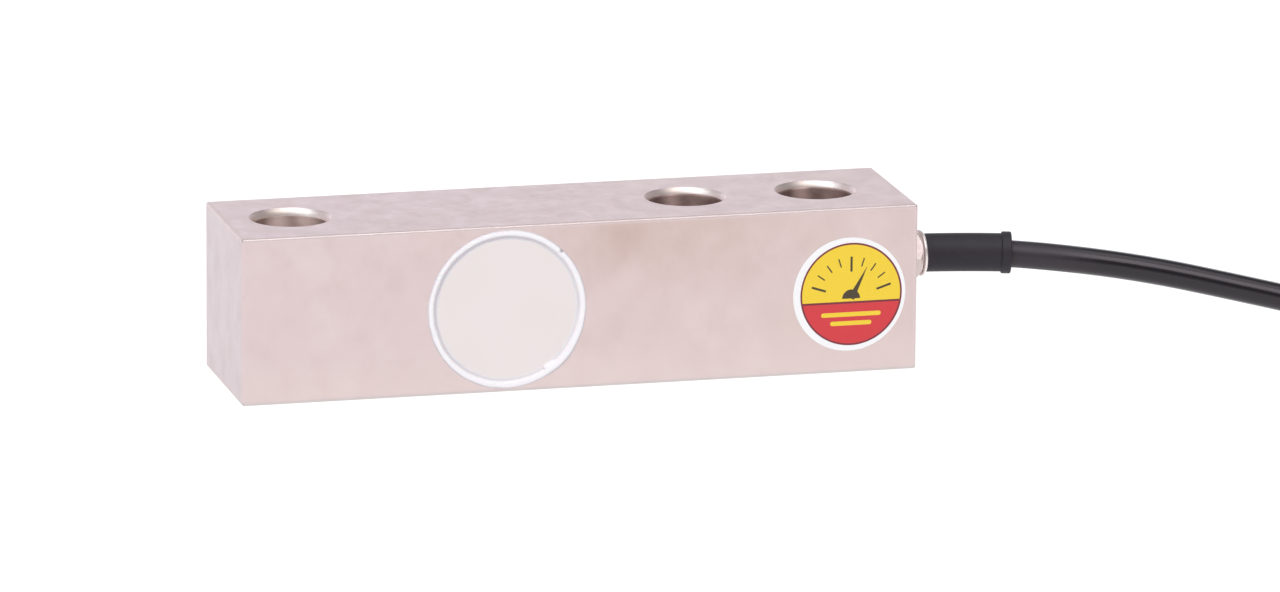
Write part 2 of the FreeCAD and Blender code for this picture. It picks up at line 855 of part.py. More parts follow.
# the cable's four cores, from the jacket's end through the wireway to the rear board
core_r = num("core_bore") / 2
jacket_end = num("beam_length") / 2 - 5.0
bx = cx + num("board_shift")
cores = {}
for name, dy, dz, pad_z, bend_x, pad_x in (
    ("red", 0.52, 0.52, 3.0, cx + 8.1, bx - 0.3),
    ("black", -0.52, 0.52, 1.0, cx + 9.4, bx + 0.9),
    ("green", -0.52, -0.52, -1.0, cx + 9.4, bx + 0.9),
    ("white", 0.52, -0.52, -3.0, cx + 8.1, bx - 0.3),
):
    path = [
        (jacket_end, gy + dy, gz + dz),
        (bend_x, gy + dy, gz + dz),
        (pad_x, wt + bt + 0.02, cz + pad_z),
    ]
    # the bend is kept within the pocket
    pts = [V(*p) for p in path]
    into, out = pts[1] - pts[0], pts[2] - pts[1]
    into.normalize()
    out.normalize()
    turn = math.acos(into.dot(out))
    reach = 1.2
    radius = reach / math.tan(turn / 2)
    p, q = pts[1] - into * reach, pts[1] + out * reach
    n = out - into
    n.normalize()
    centre = pts[1] + n * (radius / math.cos(turn / 2))
    to_mid = pts[1] - centre
    to_mid.normalize()
    wire = Part.Wire(
        [
            Part.LineSegment(pts[0], p).toShape(),
            Part.Arc(p, centre + to_mid * radius, q).toShape(),
            Part.LineSegment(q, pts[2]).toShape(),
        ]
    )
    solid = wire.makePipeShell([Part.Wire([Part.makeCircle(core_r, pts[0], into)])], True, False)
    solid = Part.Solid(solid.Shells[0])
    # the end is trimmed flat to the board's face
    floor_box = Part.makeBox(40, 4, 40, V(cx - 20, wt + bt - 4, cz - 20))
    solid = solid.cut(floor_box).Solids[0]
    cores[name] = solid
    feature("core_" + name, solid)

# ---------------------------------------------------------------- soft fill of the pockets
doc.recompute()


def labelled(label):
    return [o for o in made if o.Label == label][0].Shape


for name, sign in (("front", -1), ("rear", 1)):
    body = new_body(name + "_fill")
    sk = new_sketch(body, name + "_fill_section", "XY_Plane", (D("cover_x"), 0, mid_z))
    outline(
        sk,
        side(
            sign,
            [
                (0, web),
                (pocket - corner, web),
                (pocket - corner * k, web + corner * k, True),
                (pocket, web + corner),
                (pocket, ledge),
                (0, ledge),
            ],
        ),
    )
    turned(body, name + "_fill_turn", sk, "V_Axis")
    inside = [
        name + "_gauge_carrier",
        name + "_gauge_foil",
        name + "_terminal_board",
        name + "_jumper_wires",
        "crossover_wires",
    ]
    if sign > 0:
        inside += ["compensation_board", "trim_resistors"]
        inside += ["core_" + c for c in ("red", "black", "green", "white")]
    tools = []
    for label in inside:
        tools += labelled(label).Solids
    shape = body.Shape.cut(tools)
    solids = sorted(shape.Solids, key=lambda s: -s.Volume)
    feature(name + "_potting", solids[0])

# ---------------------------------------------------------------- cable
hank_x, hank_y, run = num("hank_x"), num("hank_y"), num("hank_run")
fold, pitch = num("hank_fold"), num("turn_pitch")
outer_fold = fold + pitch
lay = num("hank_lift") + cable_r
left = hank_x - run / 2

# outer shape of the hank: two columns of turns, folded round at both ends
low, top = num("hank_lift"), num("hank_lift") + 2 * cable_r + (num("layer_count") - 1) * num("layer_pitch")


def stadium(radius, z0, z1):
    a, b = hank_x - run / 2, hank_x + run / 2
    pts = [
        Part.LineSegment(V(a, hank_y - radius, z0), V(b, hank_y - radius, z0)).toShape(),
        Part.Arc(
            V(b, hank_y - radius, z0), V(b + radius, hank_y, z0), V(b, hank_y + radius, z0)
        ).toShape(),
        Part.LineSegment(V(b, hank_y + radius, z0), V(a, hank_y + radius, z0)).toShape(),
        Part.Arc(
            V(a, hank_y + radius, z0), V(a - radius, hank_y, z0), V(a, hank_y - radius, z0)
        ).toShape(),
    ]
    return Part.Face(Part.Wire(pts)).extrude(V(0, 0, z1 - z0))


around, within = outer_fold + cable_r, fold - cable_r
hank = stadium(around, low, top).cut(stadium(within, low - 1, top + 1)).Solids[0]
rims = [e for e in hank.Edges if e.Length > 10 and abs(e.BoundBox.ZMax - e.BoundBox.ZMin) < 1e-6]
hank = hank.makeFillet(2.0, rims).Solids[0]

route = [
    (jacket_end, gy, gz),
    (78.3, gy, gz),
    (93.0, 6.72, 15.44),
    (114.0, 1.9, 12.92),
    (135.0, -3.0, 8.36),
    (156.0, -8.2, 3.5),
    (170.5, -16.6, 3.42),
    (left + 1.0, hank_y - outer_fold, lay),
]
tube = round_wire(route, cable_r, "signal_cable")
free = sorted(tube.cut(hank).Solids, key=lambda s: -s.Volume)[0]
feature("signal_cable", free)
feature("cable_hank", hank)

# ---------------------------------------------------------------- stripped end, inside the hank
tail_route = [
    (left + 2.0, hank_y - fold, lay),
    (left + 12.0, hank_y - 14.9, lay),
    (left + 25.0, hank_y - 9.6, 3.38),
    (left + 38.0, hank_y - 4.0, 3.35),
    (left + 49.0, hank_y - 2.2, 3.35),
]
tail = round_wire(tail_route, cable_r, "cable_tail")
tail_end = V(*tail_route[-1])
tail_dir = tail_end - V(*tail_route[-2])
tail_dir.normalize()
# it leaves the hank through the hank's inner wall
tail = sorted(tail.common(stadium(within, low - 3, top + 3)).Solids, key=lambda s: -s.Volume)[0]
sleeve_len = 5.0
sleeve_r = num("sleeve_outer") / 2
sleeve_at = tail_end - tail_dir * (sleeve_len - 0.6)
sleeve = Part.makeCylinder(sleeve_r, sleeve_len, sleeve_at, tail_dir)
sleeve = sleeve.makeFillet(0.25, [e for e in sleeve.Edges if len(e.Vertexes) == 1 or e.Closed][:2])
face_at = sleeve_at + tail_dir * sleeve_len
sleeve = sleeve.cut(Part.makeCylinder(cable_r, sleeve_len - 0.6 + 0.001, sleeve_at - tail_dir * 0.001, tail_dir))
feature("cable_tail", tail)
feature("tail_sleeve", sleeve.Solids[0])

# five leads fan out on the floor, the four cores with bared tips, the drain wire bare
across = V(0, 0, 1).cross(tail_dir)
across.normalize()
lead_r = num("lead_bore") / 2
bare_r = 0.32
tips = []
# each route: place on the sleeve's face (to the front, up), then points (past the face, in front of the hank's middle, height)
for name, side_at, up_at, ends in (
    ("red", 1.25, 0.55, [(10, 4.6, 2.7), (20, 6.9, 1.2), (29, 8.9, 0.57), (36.5, 9.6, 0.57)]),
    ("black", 0.62, -0.85, [(11, 2.9, 1.5), (21, 4.3, 0.62), (31, 4.9, 0.57), (40.0, 4.7, 0.57)]),
    ("green", -0.62, -0.85, [(10, 0.2, 1.5), (20, -1.9, 0.62), (30, -3.4, 0.57), (38.0, -3.9, 0.57)]),
    ("white", -1.25, 0.55, [(9, -1.4, 2.7), (18, -4.4, 1.2), (26, -7.4, 0.57), (33.0, -9.2, 0.57)]),
    ("drain", 0.0, 1.2, [(11, 1.5, 2.9), (22, 1.0, 1.3), (32, 0.2, 0.47), (41.0, -0.1, 0.47)]),
):
    r = lead_r if name != "drain" else 0.45
    p0 = face_at - across * side_at + V(0, 0, up_at)
    pts = [(p0.x, p0.y, p0.z)]
    for along, off, z in ends:
        pts.append((face_at.x + along, hank_y - off, z))
    path = pts
    solid = round_wire(path, r, "lead_" + name)
    # the end by the sleeve is trimmed to the sleeve's own face
    solid = sorted(solid.cut(labelled("tail_sleeve")).Solids, key=lambda s: -s.Volume)[0]
    feature("lead_" + name, solid)
    if name != "drain":
        a, b = V(*path[-2]), V(*path[-1])
        out = b - a
        out.normalize()
        tips.append(Part.makeCylinder(bare_r, 6.0, b, out))
feature("lead_tips", Part.Compound(tips))

# two ties, one around each long side of the hank
tie_t, tie_w = num("tie_thick"), num("tie_wide")
bands = []
for sign in (-1, 1):
    y_in, y_out = sorted((hank_y + sign * within, hank_y + sign * around))
    hole = Part.makeBox(tie_w + 2, y_out - y_in, top - low, V(hank_x - tie_w / 2 - 1, y_in, low))
    hole = hole.makeFillet(2.0, [e for e in hole.Edges if abs(e.BoundBox.XLength - tie_w - 2) < 1e-6])
    body = Part.makeBox(
        tie_w,
        y_out - y_in + 2 * tie_t,
        top - low + 2 * tie_t,
        V(hank_x - tie_w / 2, y_in - tie_t, low - tie_t),
    )
    body = body.makeFillet(2.6, [e for e in body.Edges if abs(e.BoundBox.XLength - tie_w) < 1e-6])
    bands.append(body.cut(hole).Solids[0])
feature("hank_ties", Part.Compound(bands))

# ---------------------------------------------------------------- checks and files
doc.recompute()
for obj in doc.Objects:
    if "Invalid" in obj.State or "Error" in obj.State:
        raise RuntimeError("%s is %s" % (obj.Label, obj.State))
labels = [o.Label for o in made]
if len(set(labels)) != len(labels):
    raise RuntimeError("two pieces share a name")
for obj in made:
    if obj.Shape.isNull() or not obj.Shape.isValid() or not obj.Shape.Solids:
        raise RuntimeError(obj.Label + " has no valid solid")

os.makedirs("parts", exist_ok=True)
for obj in made:
    obj.Shape.exportStep("parts/%s.step" % obj.Label)
    box = obj.Shape.BoundBox
    print(
        "%-22s solids %d volume %9.2f  x %.2f..%.2f y %.2f..%.2f z %.2f..%.2f"
        % (
            obj.Label,
            len(obj.Shape.Solids),
            obj.Shape.Volume,
            box.XMin,
            box.XMax,
            box.YMin,
            box.YMax,
            box.ZMin,
            box.ZMax,
        )
    )
print(len(made), "pieces")
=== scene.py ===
import math

import bmesh
import bpy
import numpy as np
from mathutils import Matrix, Vector, noise


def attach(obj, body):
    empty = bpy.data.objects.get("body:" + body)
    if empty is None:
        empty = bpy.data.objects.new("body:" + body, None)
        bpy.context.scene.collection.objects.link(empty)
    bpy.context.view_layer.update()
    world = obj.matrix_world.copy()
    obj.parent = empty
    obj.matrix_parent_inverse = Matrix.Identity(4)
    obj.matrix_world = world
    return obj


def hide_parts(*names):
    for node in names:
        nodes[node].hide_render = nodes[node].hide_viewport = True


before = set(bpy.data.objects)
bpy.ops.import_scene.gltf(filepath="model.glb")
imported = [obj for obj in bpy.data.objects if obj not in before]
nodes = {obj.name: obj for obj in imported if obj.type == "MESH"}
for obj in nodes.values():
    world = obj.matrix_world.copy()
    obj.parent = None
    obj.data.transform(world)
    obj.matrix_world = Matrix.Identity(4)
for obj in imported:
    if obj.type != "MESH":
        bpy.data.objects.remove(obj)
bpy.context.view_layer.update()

# Cantilever beam load cell: satin nickel-plated bar, sealed side covers, a round sticker,
# a cable gland with a rubber boot, and its cable put away as a tied hank past the view.
# Numbers below are millimetres unless a name ends in _m.
MM = 0.001
scene = bpy.context.scene
COVER_X, COVER_Z = -14.5, 15.9
HOLES = (-52.3, 23.9, 49.3)


def metres(points):
    return [tuple(c * MM for c in p) for p in points]


def link(obj):
    scene.collection.objects.link(obj)
    return obj


# ------------------------------------------------------------------------------ camera
forward = Vector((0.246312, 0.939143, -0.239463)).normalized()
right = forward.cross(Vector((0, 0, 1))).normalized()
up = right.cross(forward).normalized()
roll = 0.008090553
right_r = right * math.cos(roll) + up * math.sin(roll)
up_r = up * math.cos(roll) - right * math.sin(roll)
camera_data = bpy.data.cameras.new("camera")
camera_data.sensor_fit = "HORIZONTAL"
camera_data.sensor_width = 36.0
camera_data.lens = 9897.965 / 1280 * 36.0
camera_data.clip_start, camera_data.clip_end = 0.05, 60.0
camera = link(bpy.data.objects.new("camera", camera_data))
turn = Matrix((right_r, up_r, -forward)).transposed()
camera.matrix_world = Matrix.Translation((-0.4447734, -1.7540279, 0.4602146)) @ turn.to_4x4()
scene.camera = camera

# ------------------------------------------------------------------------------- cable
CABLE_R = 2.6
route = [
    (60.0, 10.0, 15.9),
    (78.3, 10.0, 15.9),
    (93.0, 6.72, 15.44),
    (114.0, 1.9, 12.92),
    (135.0, -3.0, 8.36),
    (156.0, -8.2, 3.5),
    (170.5, -16.6, 3.42),
    (184.0, -18.0, 3.4),
]
tail = [
    (185.0, -12.7, 3.4),
    (195.0, -11.9, 3.4),
    (208.0, -6.6, 3.38),
    (221.0, -1.0, 3.35),
    (232.0, 0.8, 3.35),
]
LEFT, RIGHT, MID_Y = 183.0, 278.0, 3.0
OUTER, INNER = 21.0, 15.7
LAYER = [3.4 + 5.25 * k for k in range(5)]
FOLD_STEP = math.radians(30)


def fold(end, radius, z, reach):
    """Control points of one half turn, anticlockwise seen from above, 30 degrees apart."""
    r = radius / math.cos(FOLD_STEP / 2)
    at, first = ((RIGHT + reach), 75) if end == "right" else ((LEFT - reach), -105)
    return [
        (
            at + r * math.cos(math.radians(first - 30 * i)),
            MID_Y - r * math.sin(math.radians(first - 30 * i)),
            z,
        )
        for i in range(6)
    ]


# how far each turn's two folds stand out, uneven as hand-wound turns are
outer_reach = [(-0.2, 0.3), (0.4, -0.5), (-0.6, 0.5), (0.2, -0.1), (-0.4, 0.0)]
inner_reach = [(-1.3, -1.0), (-2.1, -1.7), (-1.0, -2.2), (-1.8, -3.6)]
turns = []
for k in range(5):  # the outer turns climb
    z, y = LAYER[k], MID_Y - OUTER
    on = LAYER[min(k + 1, 4)]
    turns += [(x, y, z) for x in (189.0, 211.0, 230.0, 251.0, 272.5)]
    turns += fold("right", OUTER, z, outer_reach[k][0])
    if k < 4:
        turns += [(x, MID_Y + OUTER, z) for x in (272.5, 251.0, 231.0, 215.0)]
        turns += [(202.0, MID_Y + OUTER, (z + on) / 2), (189.0, MID_Y + OUTER, on)]
        turns += fold("left", OUTER, on, outer_reach[k][1])
    else:  # the top one moves over to the inner column
        turns += [(x, MID_Y + OUTER, z) for x in (272.5, 251.0)]
        turns += [(236.0, MID_Y + (OUTER + INNER) / 2, z)]
        turns += [(x, MID_Y + INNER, z) for x in (221.0, 205.0, 187.0)]
        turns += fold("left", INNER, z, -1.1)
for k in range(4):  # the inner turns go down again
    z, on = LAYER[4 - k], LAYER[3 - k]
    y = MID_Y - INNER
    turns += [(187.0, y, z), (202.0, y, z), (217.0, y, z)]
    turns += [(231.0, y, (z + on) / 2), (245.0, y, on), (259.0, y, on), (274.0, y, on)]
    turns += fold("right", INNER, on, inner_reach[k][0])
    turns += [(x, MID_Y + INNER, on) for x in (274.0, 251.0, 230.0, 209.0, 187.0)]
    turns += fold("left", INNER, on, inner_reach[k][1])


def spline_of(name, points, radius, around=8, steps=12):
    """One open smooth spline with these control points, as a round wire."""
    data = bpy.data.curves.new(name, "CURVE")
    data.dimensions = "3D"
    line = data.splines.new("NURBS")
    line.points.add(len(points) - 1)
    for p, c in zip(line.points, metres(points)):
        p.co = (*c, 1.0)
    line.order_u = 3
    line.use_endpoint_u = True
    line.use_smooth = True
    data.resolution_u = steps
    data.bevel_depth = radius * MM
    data.bevel_resolution = around
    data.use_fill_caps = True
    return link(bpy.data.objects.new(name, data))


cable = spline_of("cable", route + turns + tail, CABLE_R, around=7, steps=10)

# the four leads and the bare drain wire, fanned out on the floor inside the hank
lead_routes = {
    "red": [(232.794, -0.337, 3.9), (242.592, -1.6, 2.7), (252.592, -3.9, 1.2), (261.592, -5.9, 0.57), (269.092, -6.6, 0.57)],
    "black": [(232.692, 0.285, 2.5), (243.592, 0.1, 1.5), (253.592, -1.3, 0.62), (263.592, -1.9, 0.57), (272.592, -1.7, 0.57)],
    "green": [(232.492, 1.509, 2.5), (242.592, 2.8, 1.5), (252.592, 4.9, 0.62), (262.592, 6.4, 0.57), (270.592, 6.9, 0.57)],
    "white": [(232.39, 2.131, 3.9), (241.592, 4.4, 2.7), (250.592, 7.4, 1.2), (258.592, 10.4, 0.57), (265.592, 12.2, 0.57)],
    "drain": [(232.592, 0.897, 4.55), (243.592, 1.5, 2.9), (254.592, 2.0, 1.3), (264.592, 2.8, 0.47), (273.592, 3.1, 0.47)],
}
leads = {
    c: spline_of("lead_" + c + "_wire", lead_routes[c], 0.55, around=4, steps=14)
    for c in ("red", "black", "green", "white")
}


# ------------------------------------------------------------------- mesh construction
def mesh_object(name, vertices, faces, smooth=True, materials=(), face_materials=None):
    data = bpy.data.meshes.new(name)
    data.from_pydata([tuple(v) for v in vertices], [], [tuple(f) for f in faces])
    data.validate()
    work = bmesh.new()
    work.from_mesh(data)
    bmesh.ops.recalc_face_normals(work, faces=work.faces)
    work.to_mesh(data)
    work.free()
    for m in materials:
        data.materials.append(m)
    for i, p in enumerate(data.polygons):
        p.use_smooth = smooth
        if face_materials is not None:
            p.material_index = face_materials[i]
    return link(bpy.data.objects.new(name, data))


def rings_to_faces(count, around, closed_line=False, first=0):
    """Quads between rings of the same size."""
    faces = []
    for i in range(count if closed_line else count - 1):
        j = (i + 1) % count
        for k in range(around):
            n = (k + 1) % around
            faces.append((first + i * around + k, first + i * around + n, first + j * around + n, first + j * around + k))
    return faces


def carried_frames(line):
    """A tangent, normal and second normal at each point of a line, without twist."""
    t = np.gradient(line, axis=0)
    t /= np.linalg.norm(t, axis=1)[:, None]
    n = np.cross(t[0], (0.0, 0.0, 1.0) if abs(t[0][2]) < 0.9 else (1.0, 0.0, 0.0))
    n /= np.linalg.norm(n)
    normals = []
    for d in t:
        n = n - d * n.dot(d)
        n = n / np.linalg.norm(n)
        normals.append(n)
    normals = np.array(normals)
    return t, normals, np.cross(t, normals)


def strands(line, count, strand_r, lay_r, pitch, sides=8):
    """A bundle of round strands twisted about a line: one in the middle, the others around it. Metres."""
    t, n, b = carried_frames(line)
    along = np.concatenate([[0], np.cumsum(np.linalg.norm(np.diff(line, axis=0), axis=1))])
    vertices, faces = [], []
    for s in range(count + 1):
        turn_ = 2 * math.pi * (along / pitch + s / max(count, 1))
        out = lay_r if s < count else 0.0
        centre = line + out * (n * np.cos(turn_)[:, None] + b * np.sin(turn_)[:, None])
        tt, nn, bb = carried_frames(centre)
        first = len(vertices)
        for i in range(len(centre)):
            for k in range(sides):
                a = 2 * math.pi * k / sides
                vertices.append(centre[i] + strand_r * (nn[i] * math.cos(a) + bb[i] * math.sin(a)))
        faces += rings_to_faces(len(centre), sides, first=first)
        faces.append(tuple(first + k for k in range(sides)))
        last = first + (len(centre) - 1) * sides
        faces.append(tuple(last + k for k in reversed(range(sides))))
    return vertices, faces


def spun(profile, at, axis, around=64):
    """A closed ring or a capped solid turned about an axis: profile is (along, radius), closed on itself. Millimetres."""
    axis = np.array(axis, float) / np.linalg.norm(axis)
    n = np.cross(axis, (0.0, 0.0, 1.0))
    n /= np.linalg.norm(n)
    b = np.cross(axis, n)
    vertices = []
    for i in range(around):
        a = 2 * math.pi * i / around
        d = n * math.cos(a) + b * math.sin(a)
        for x, r in profile:
            vertices.append((np.array(at) + axis * x + d * r) * MM)
    return vertices, rings_to_faces(around, len(profile), closed_line=True)


# ------------------------------------------------------------------------- materials
class Finish:
    """A procedural material, made from nodes. Places come in as millimetres in the part's own frame."""

    def __init__(self, name, **constants):
        self.material = bpy.data.materials.new(name)
        self.material.use_nodes = True
        self.tree = self.material.node_tree
        self.shader = self.tree.nodes["Principled BSDF"]
        for key, value in constants.items():
            self.shader.inputs[key.replace("_", " ")].default_value = value
        where = self.tree.nodes.new("ShaderNodeTexCoord")
        scale = self.tree.nodes.new("ShaderNodeVectorMath")
        scale.operation = "SCALE"
        self.tree.links.new(where.outputs["Object"], scale.inputs[0])
        scale.inputs["Scale"].default_value = 1000.0
        self.place = scale.outputs["Vector"]
        self._xyz = None

    def put(self, socket, value):
        if hasattr(value, "is_linked"):
            self.tree.links.new(value, socket)
        else:
            socket.default_value = value

    def xyz(self):
        if self._xyz is None:
            s = self.tree.nodes.new("ShaderNodeSeparateXYZ")
            self.tree.links.new(self.place, s.inputs[0])
            self._xyz = s.outputs["X"], s.outputs["Y"], s.outputs["Z"]
        return self._xyz

    def normal(self):
        g = self.tree.nodes.new("ShaderNodeNewGeometry")
        s = self.tree.nodes.new("ShaderNodeSeparateXYZ")
        self.tree.links.new(g.outputs["Normal"], s.inputs[0])
        return s.outputs["X"], s.outputs["Y"], s.outputs["Z"]

    def do(self, operation, *values, clamp=False):
        n = self.tree.nodes.new("ShaderNodeMath")
        n.operation, n.use_clamp = operation, clamp
        for socket, value in zip(n.inputs, values):
            self.put(socket, value)
        return n.outputs[0]

    def noise(self, scale, detail=3.0, rough=0.55, stretch=None, shift=None, distort=0.0):
        at = self.place
        if stretch or shift:
            m = self.tree.nodes.new("ShaderNodeMapping")
            self.tree.links.new(at, m.inputs["Vector"])
            m.inputs["Scale"].default_value = stretch or (1, 1, 1)
            m.inputs["Location"].default_value = shift or (0, 0, 0)
            at = m.outputs["Vector"]
        n = self.tree.nodes.new("ShaderNodeTexNoise")
        self.tree.links.new(at, n.inputs["Vector"])
        n.inputs["Scale"].default_value = scale
        n.inputs["Detail"].default_value = detail
        n.inputs["Roughness"].default_value = rough
        n.inputs["Distortion"].default_value = distort
        return n.outputs[0]

    def step(self, value, low, high, to_low=0.0, to_high=1.0):
        """A soft step from to_low at low to to_high at high."""
        n = self.tree.nodes.new("ShaderNodeMapRange")
        n.interpolation_type = "SMOOTHSTEP"
        self.put(n.inputs["Value"], value)
        for key, v in (("From Min", low), ("From Max", high), ("To Min", to_low), ("To Max", to_high)):
            n.inputs[key].default_value = v
        return n.outputs[0]

    def linear(self, value, low, high, to_low, to_high):
        n = self.tree.nodes.new("ShaderNodeMapRange")
        self.put(n.inputs["Value"], value)
        for key, v in (("From Min", low), ("From Max", high), ("To Min", to_low), ("To Max", to_high)):
            n.inputs[key].default_value = v
        return n.outputs[0]

    def mix(self, share, a, b, kind="MIX"):
        n = self.tree.nodes.new("ShaderNodeMix")
        n.data_type, n.blend_type = "RGBA", kind
        self.put(n.inputs[0], share)
        for socket, value in ((n.inputs[6], a), (n.inputs[7], b)):
            self.put(socket, (*value, 1.0) if isinstance(value, tuple) and len(value) == 3 else value)
        return n.outputs[2]

    def hill(self, *pairs):
        """A soft round hill: exp(-sum(((v - middle) / width)^2)) over the (value, middle, width) given."""
        total = None
        for value, middle, width in pairs:
            d = self.do("DIVIDE", self.do("SUBTRACT", value, middle), width)
            d = self.do("MULTIPLY", d, d)
            total = d if total is None else self.do("ADD", total, d)
        return self.do("EXPONENT", self.do("MULTIPLY", total, -1.0))

    def bump(self, *layers):
        """Layers of (height, distance in millimetres), each on top of the one before."""
        below = None
        for height, distance in layers:
            n = self.tree.nodes.new("ShaderNodeBump")
            n.inputs["Strength"].default_value = 1.0
            n.inputs["Distance"].default_value = distance * MM
            self.put(n.inputs["Height"], height)
            if below is not None:
                self.tree.links.new(below, n.inputs["Normal"])
            below = n.outputs["Normal"]
        self.tree.links.new(below, self.shader.inputs["Normal"])

    def colour(self, socket):
        self.tree.links.new(socket, self.shader.inputs["Base Color"])

    def roughness(self, socket):
        self.tree.links.new(socket, self.shader.inputs["Roughness"])


# colours of the plating
PINK = (0.719, 0.586, 0.588)
TAN = (0.700, 0.568, 0.546)
LIGHT = (0.748, 0.620, 0.618)
DULL = (0.677, 0.543, 0.534)
UPPER_TAN = (0.610, 0.462, 0.418)
# edge colours: painted highlight and shade lines on the bar's edges
TOP_EDGE_HIGHLIGHT = (0.86, 0.745, 0.735)
FRONT_EDGE_SHADE = (0.66, 0.574, 0.568)
SIDE_EDGE_HIGHLIGHT = (0.785, 0.655, 0.655)
LOW_EDGE_SHADE = (0.62, 0.575, 0.566)
# rim colours: painted highlight and shade round the bolt holes' rims
RIM = (0.87, 0.825, 0.815)
RIM_WARM_SHADE = (0.645, 0.552, 0.515)
RIM_LEFT_SHADE = (0.72, 0.580, 0.548)
RIM_RIGHT_HIGHLIGHT = (0.95, 0.815, 0.812)
RIM_OUTER_SHADE = (0.54, 0.475, 0.475)
# bore colours: painted reflections and shade in the bolt holes
BORE = (0.78, 0.580, 0.545)
BORE_DARK = (0.29, 0.195, 0.180)
BORE_PALE = (0.98, 0.81, 0.765)
BORE_PALE_DARK = (0.57, 0.450, 0.415)
BORE_END_SHADE = (0.24, 0.160, 0.148)


def plated_steel():
    f = Finish("plated_steel")
    x, y, z = f.xyz()
    nx, ny, nz = f.normal()
    # distance from the nearest bolt hole's axis, and from the bar's middle height
    gaps = [f.do("ABSOLUTE", f.do("SUBTRACT", x, h)) for h in HOLES]
    gap = f.do("MINIMUM", f.do("MINIMUM", gaps[0], gaps[1]), gaps[2])
    r = f.do("SQRT", f.do("ADD", f.do("MULTIPLY", gap, gap), f.do("MULTIPLY", y, y)))
    level = f.do("ABSOLUTE", f.do("SUBTRACT", z, 15.9))
    # the rim is bright a little less far down in the two holes near the cable
    rim_level = f.do("SUBTRACT", level, f.step(x, -16.0, -12.0, 0.0, 0.3))
    in_rim = f.do("MULTIPLY", f.step(r, 7.95, 7.55), f.step(rim_level, 14.40, 14.62))
    in_bore = f.do("MULTIPLY", f.step(r, 7.6, 7.3), f.step(rim_level, 14.62, 14.40))
    # distance from the bar's nearest long or short edge: the second smallest of three
    a = f.do("SUBTRACT", 65.0, f.do("ABSOLUTE", x))
    b = f.do("SUBTRACT", 15.9, f.do("ABSOLUTE", y))
    c = f.do("MINIMUM", z, f.do("SUBTRACT", 31.8, z))
    edge = f.do("MAXIMUM", f.do("MINIMUM", a, b), f.do("MINIMUM", f.do("MAXIMUM", a, b), c))
    on_edge = f.step(edge, 0.95, 0.22)
    low_edge = f.do("MULTIPLY", on_edge, f.step(z, 1.0, 0.3))
    top_edge = f.step(z, 31.0, 31.5)
    # the plating's tone drifts along the bar from pink to tan, in soft patches and smears
    clouds = f.noise(0.035, 2.0, 0.5, shift=(3.1, 7.7, 1.9))
    patches = f.noise(0.11, 3.0, 0.55, shift=(9.2, 4.1, 6.3))
    smears = f.noise(0.2, 3.0, 0.6, stretch=(1.0, 1.0, 0.8), shift=(11.0, 2.0, 5.0))
    mottle = f.noise(0.7, 4.0, 0.65)
    drift = f.do("ADD", f.linear(x, -55.0, 45.0, -0.15, 0.75), f.linear(clouds, 0.3, 0.7, -0.35, 0.35), clamp=True)
    tone = f.mix(drift, PINK, TAN)
    calm = f.step(nz, 0.9, 0.6, 0.4, 1.0)
    tone = f.mix(f.do("MULTIPLY", f.step(patches, 0.42, 0.72, 0.0, 0.75), calm), tone, LIGHT)
    tone = f.mix(f.do("MULTIPLY", f.step(smears, 0.46, 0.78, 0.0, 0.5), calm), tone, DULL)
    tone = f.mix(f.linear(mottle, 0.32, 0.68, 0.0, 0.2), tone, LIGHT)
    # the front face is painted darker and tanner in a soft patch near its top, and lighter and pinker towards its
    # bottom
    on_front = f.step(y, -15.0, -15.6)
    wide = f.hill((x, 20.0, 24.0), (z, 29.5, 8.5))
    close = f.hill((x, 6.0, 9.0), (z, 28.0, 6.0))
    upper_tan = f.do("ADD", f.do("MULTIPLY", wide, 0.62), f.do("MULTIPLY", close, 0.36), clamp=True)
    upper_tan = f.do("MULTIPLY", f.do("MULTIPLY", upper_tan, on_front), f.linear(smears, 0.25, 0.75, 0.6, 1.1))
    tone = f.mix(upper_tan, tone, UPPER_TAN)
    low_down = f.do("MULTIPLY", f.step(z, 11.0, 2.0, 0.0, 0.6), on_front)
    tone = f.mix(low_down, tone, (0.750, 0.632, 0.620))
    # Painted light and shade: the bar's end faces are painted darker and bluer than its long faces, standing in for
    # the cooler light they reflect.
    ends = f.step(f.do("ABSOLUTE", nx), 0.75, 0.95)
    tone = f.mix(ends, tone, f.mix(1.0, tone, (0.868, 0.902, 0.948), "MULTIPLY"))
    # Painted light and shade on the bar's edges: the top edges are painted lighter as a highlight line, the top front
    # edge darker close in and lighter a little further out, the upright edges lighter as a highlight, and the bottom
    # edges darker as the shade under the bar they reflect.
    beside = f.mix(f.step(edge, 0.50, 0.24), (0.785, 0.672, 0.665), FRONT_EDGE_SHADE)
    upper = f.mix(f.step(y, -15.0, -15.3), TOP_EDGE_HIGHLIGHT, beside)
    tone = f.mix(f.do("MULTIPLY", on_edge, 0.9), tone, f.mix(top_edge, SIDE_EDGE_HIGHLIGHT, upper))
    tone = f.mix(f.do("MULTIPLY", low_edge, 0.85), tone, LOW_EDGE_SHADE)
    middle = f.do("ADD", f.do("MULTIPLY", f.do("GREATER_THAN", x, -14.2), 76.2), f.do("MULTIPLY", f.do("GREATER_THAN", x, 36.6), 25.4))
    along = f.do("SUBTRACT", x, f.do("ADD", middle, -52.3))
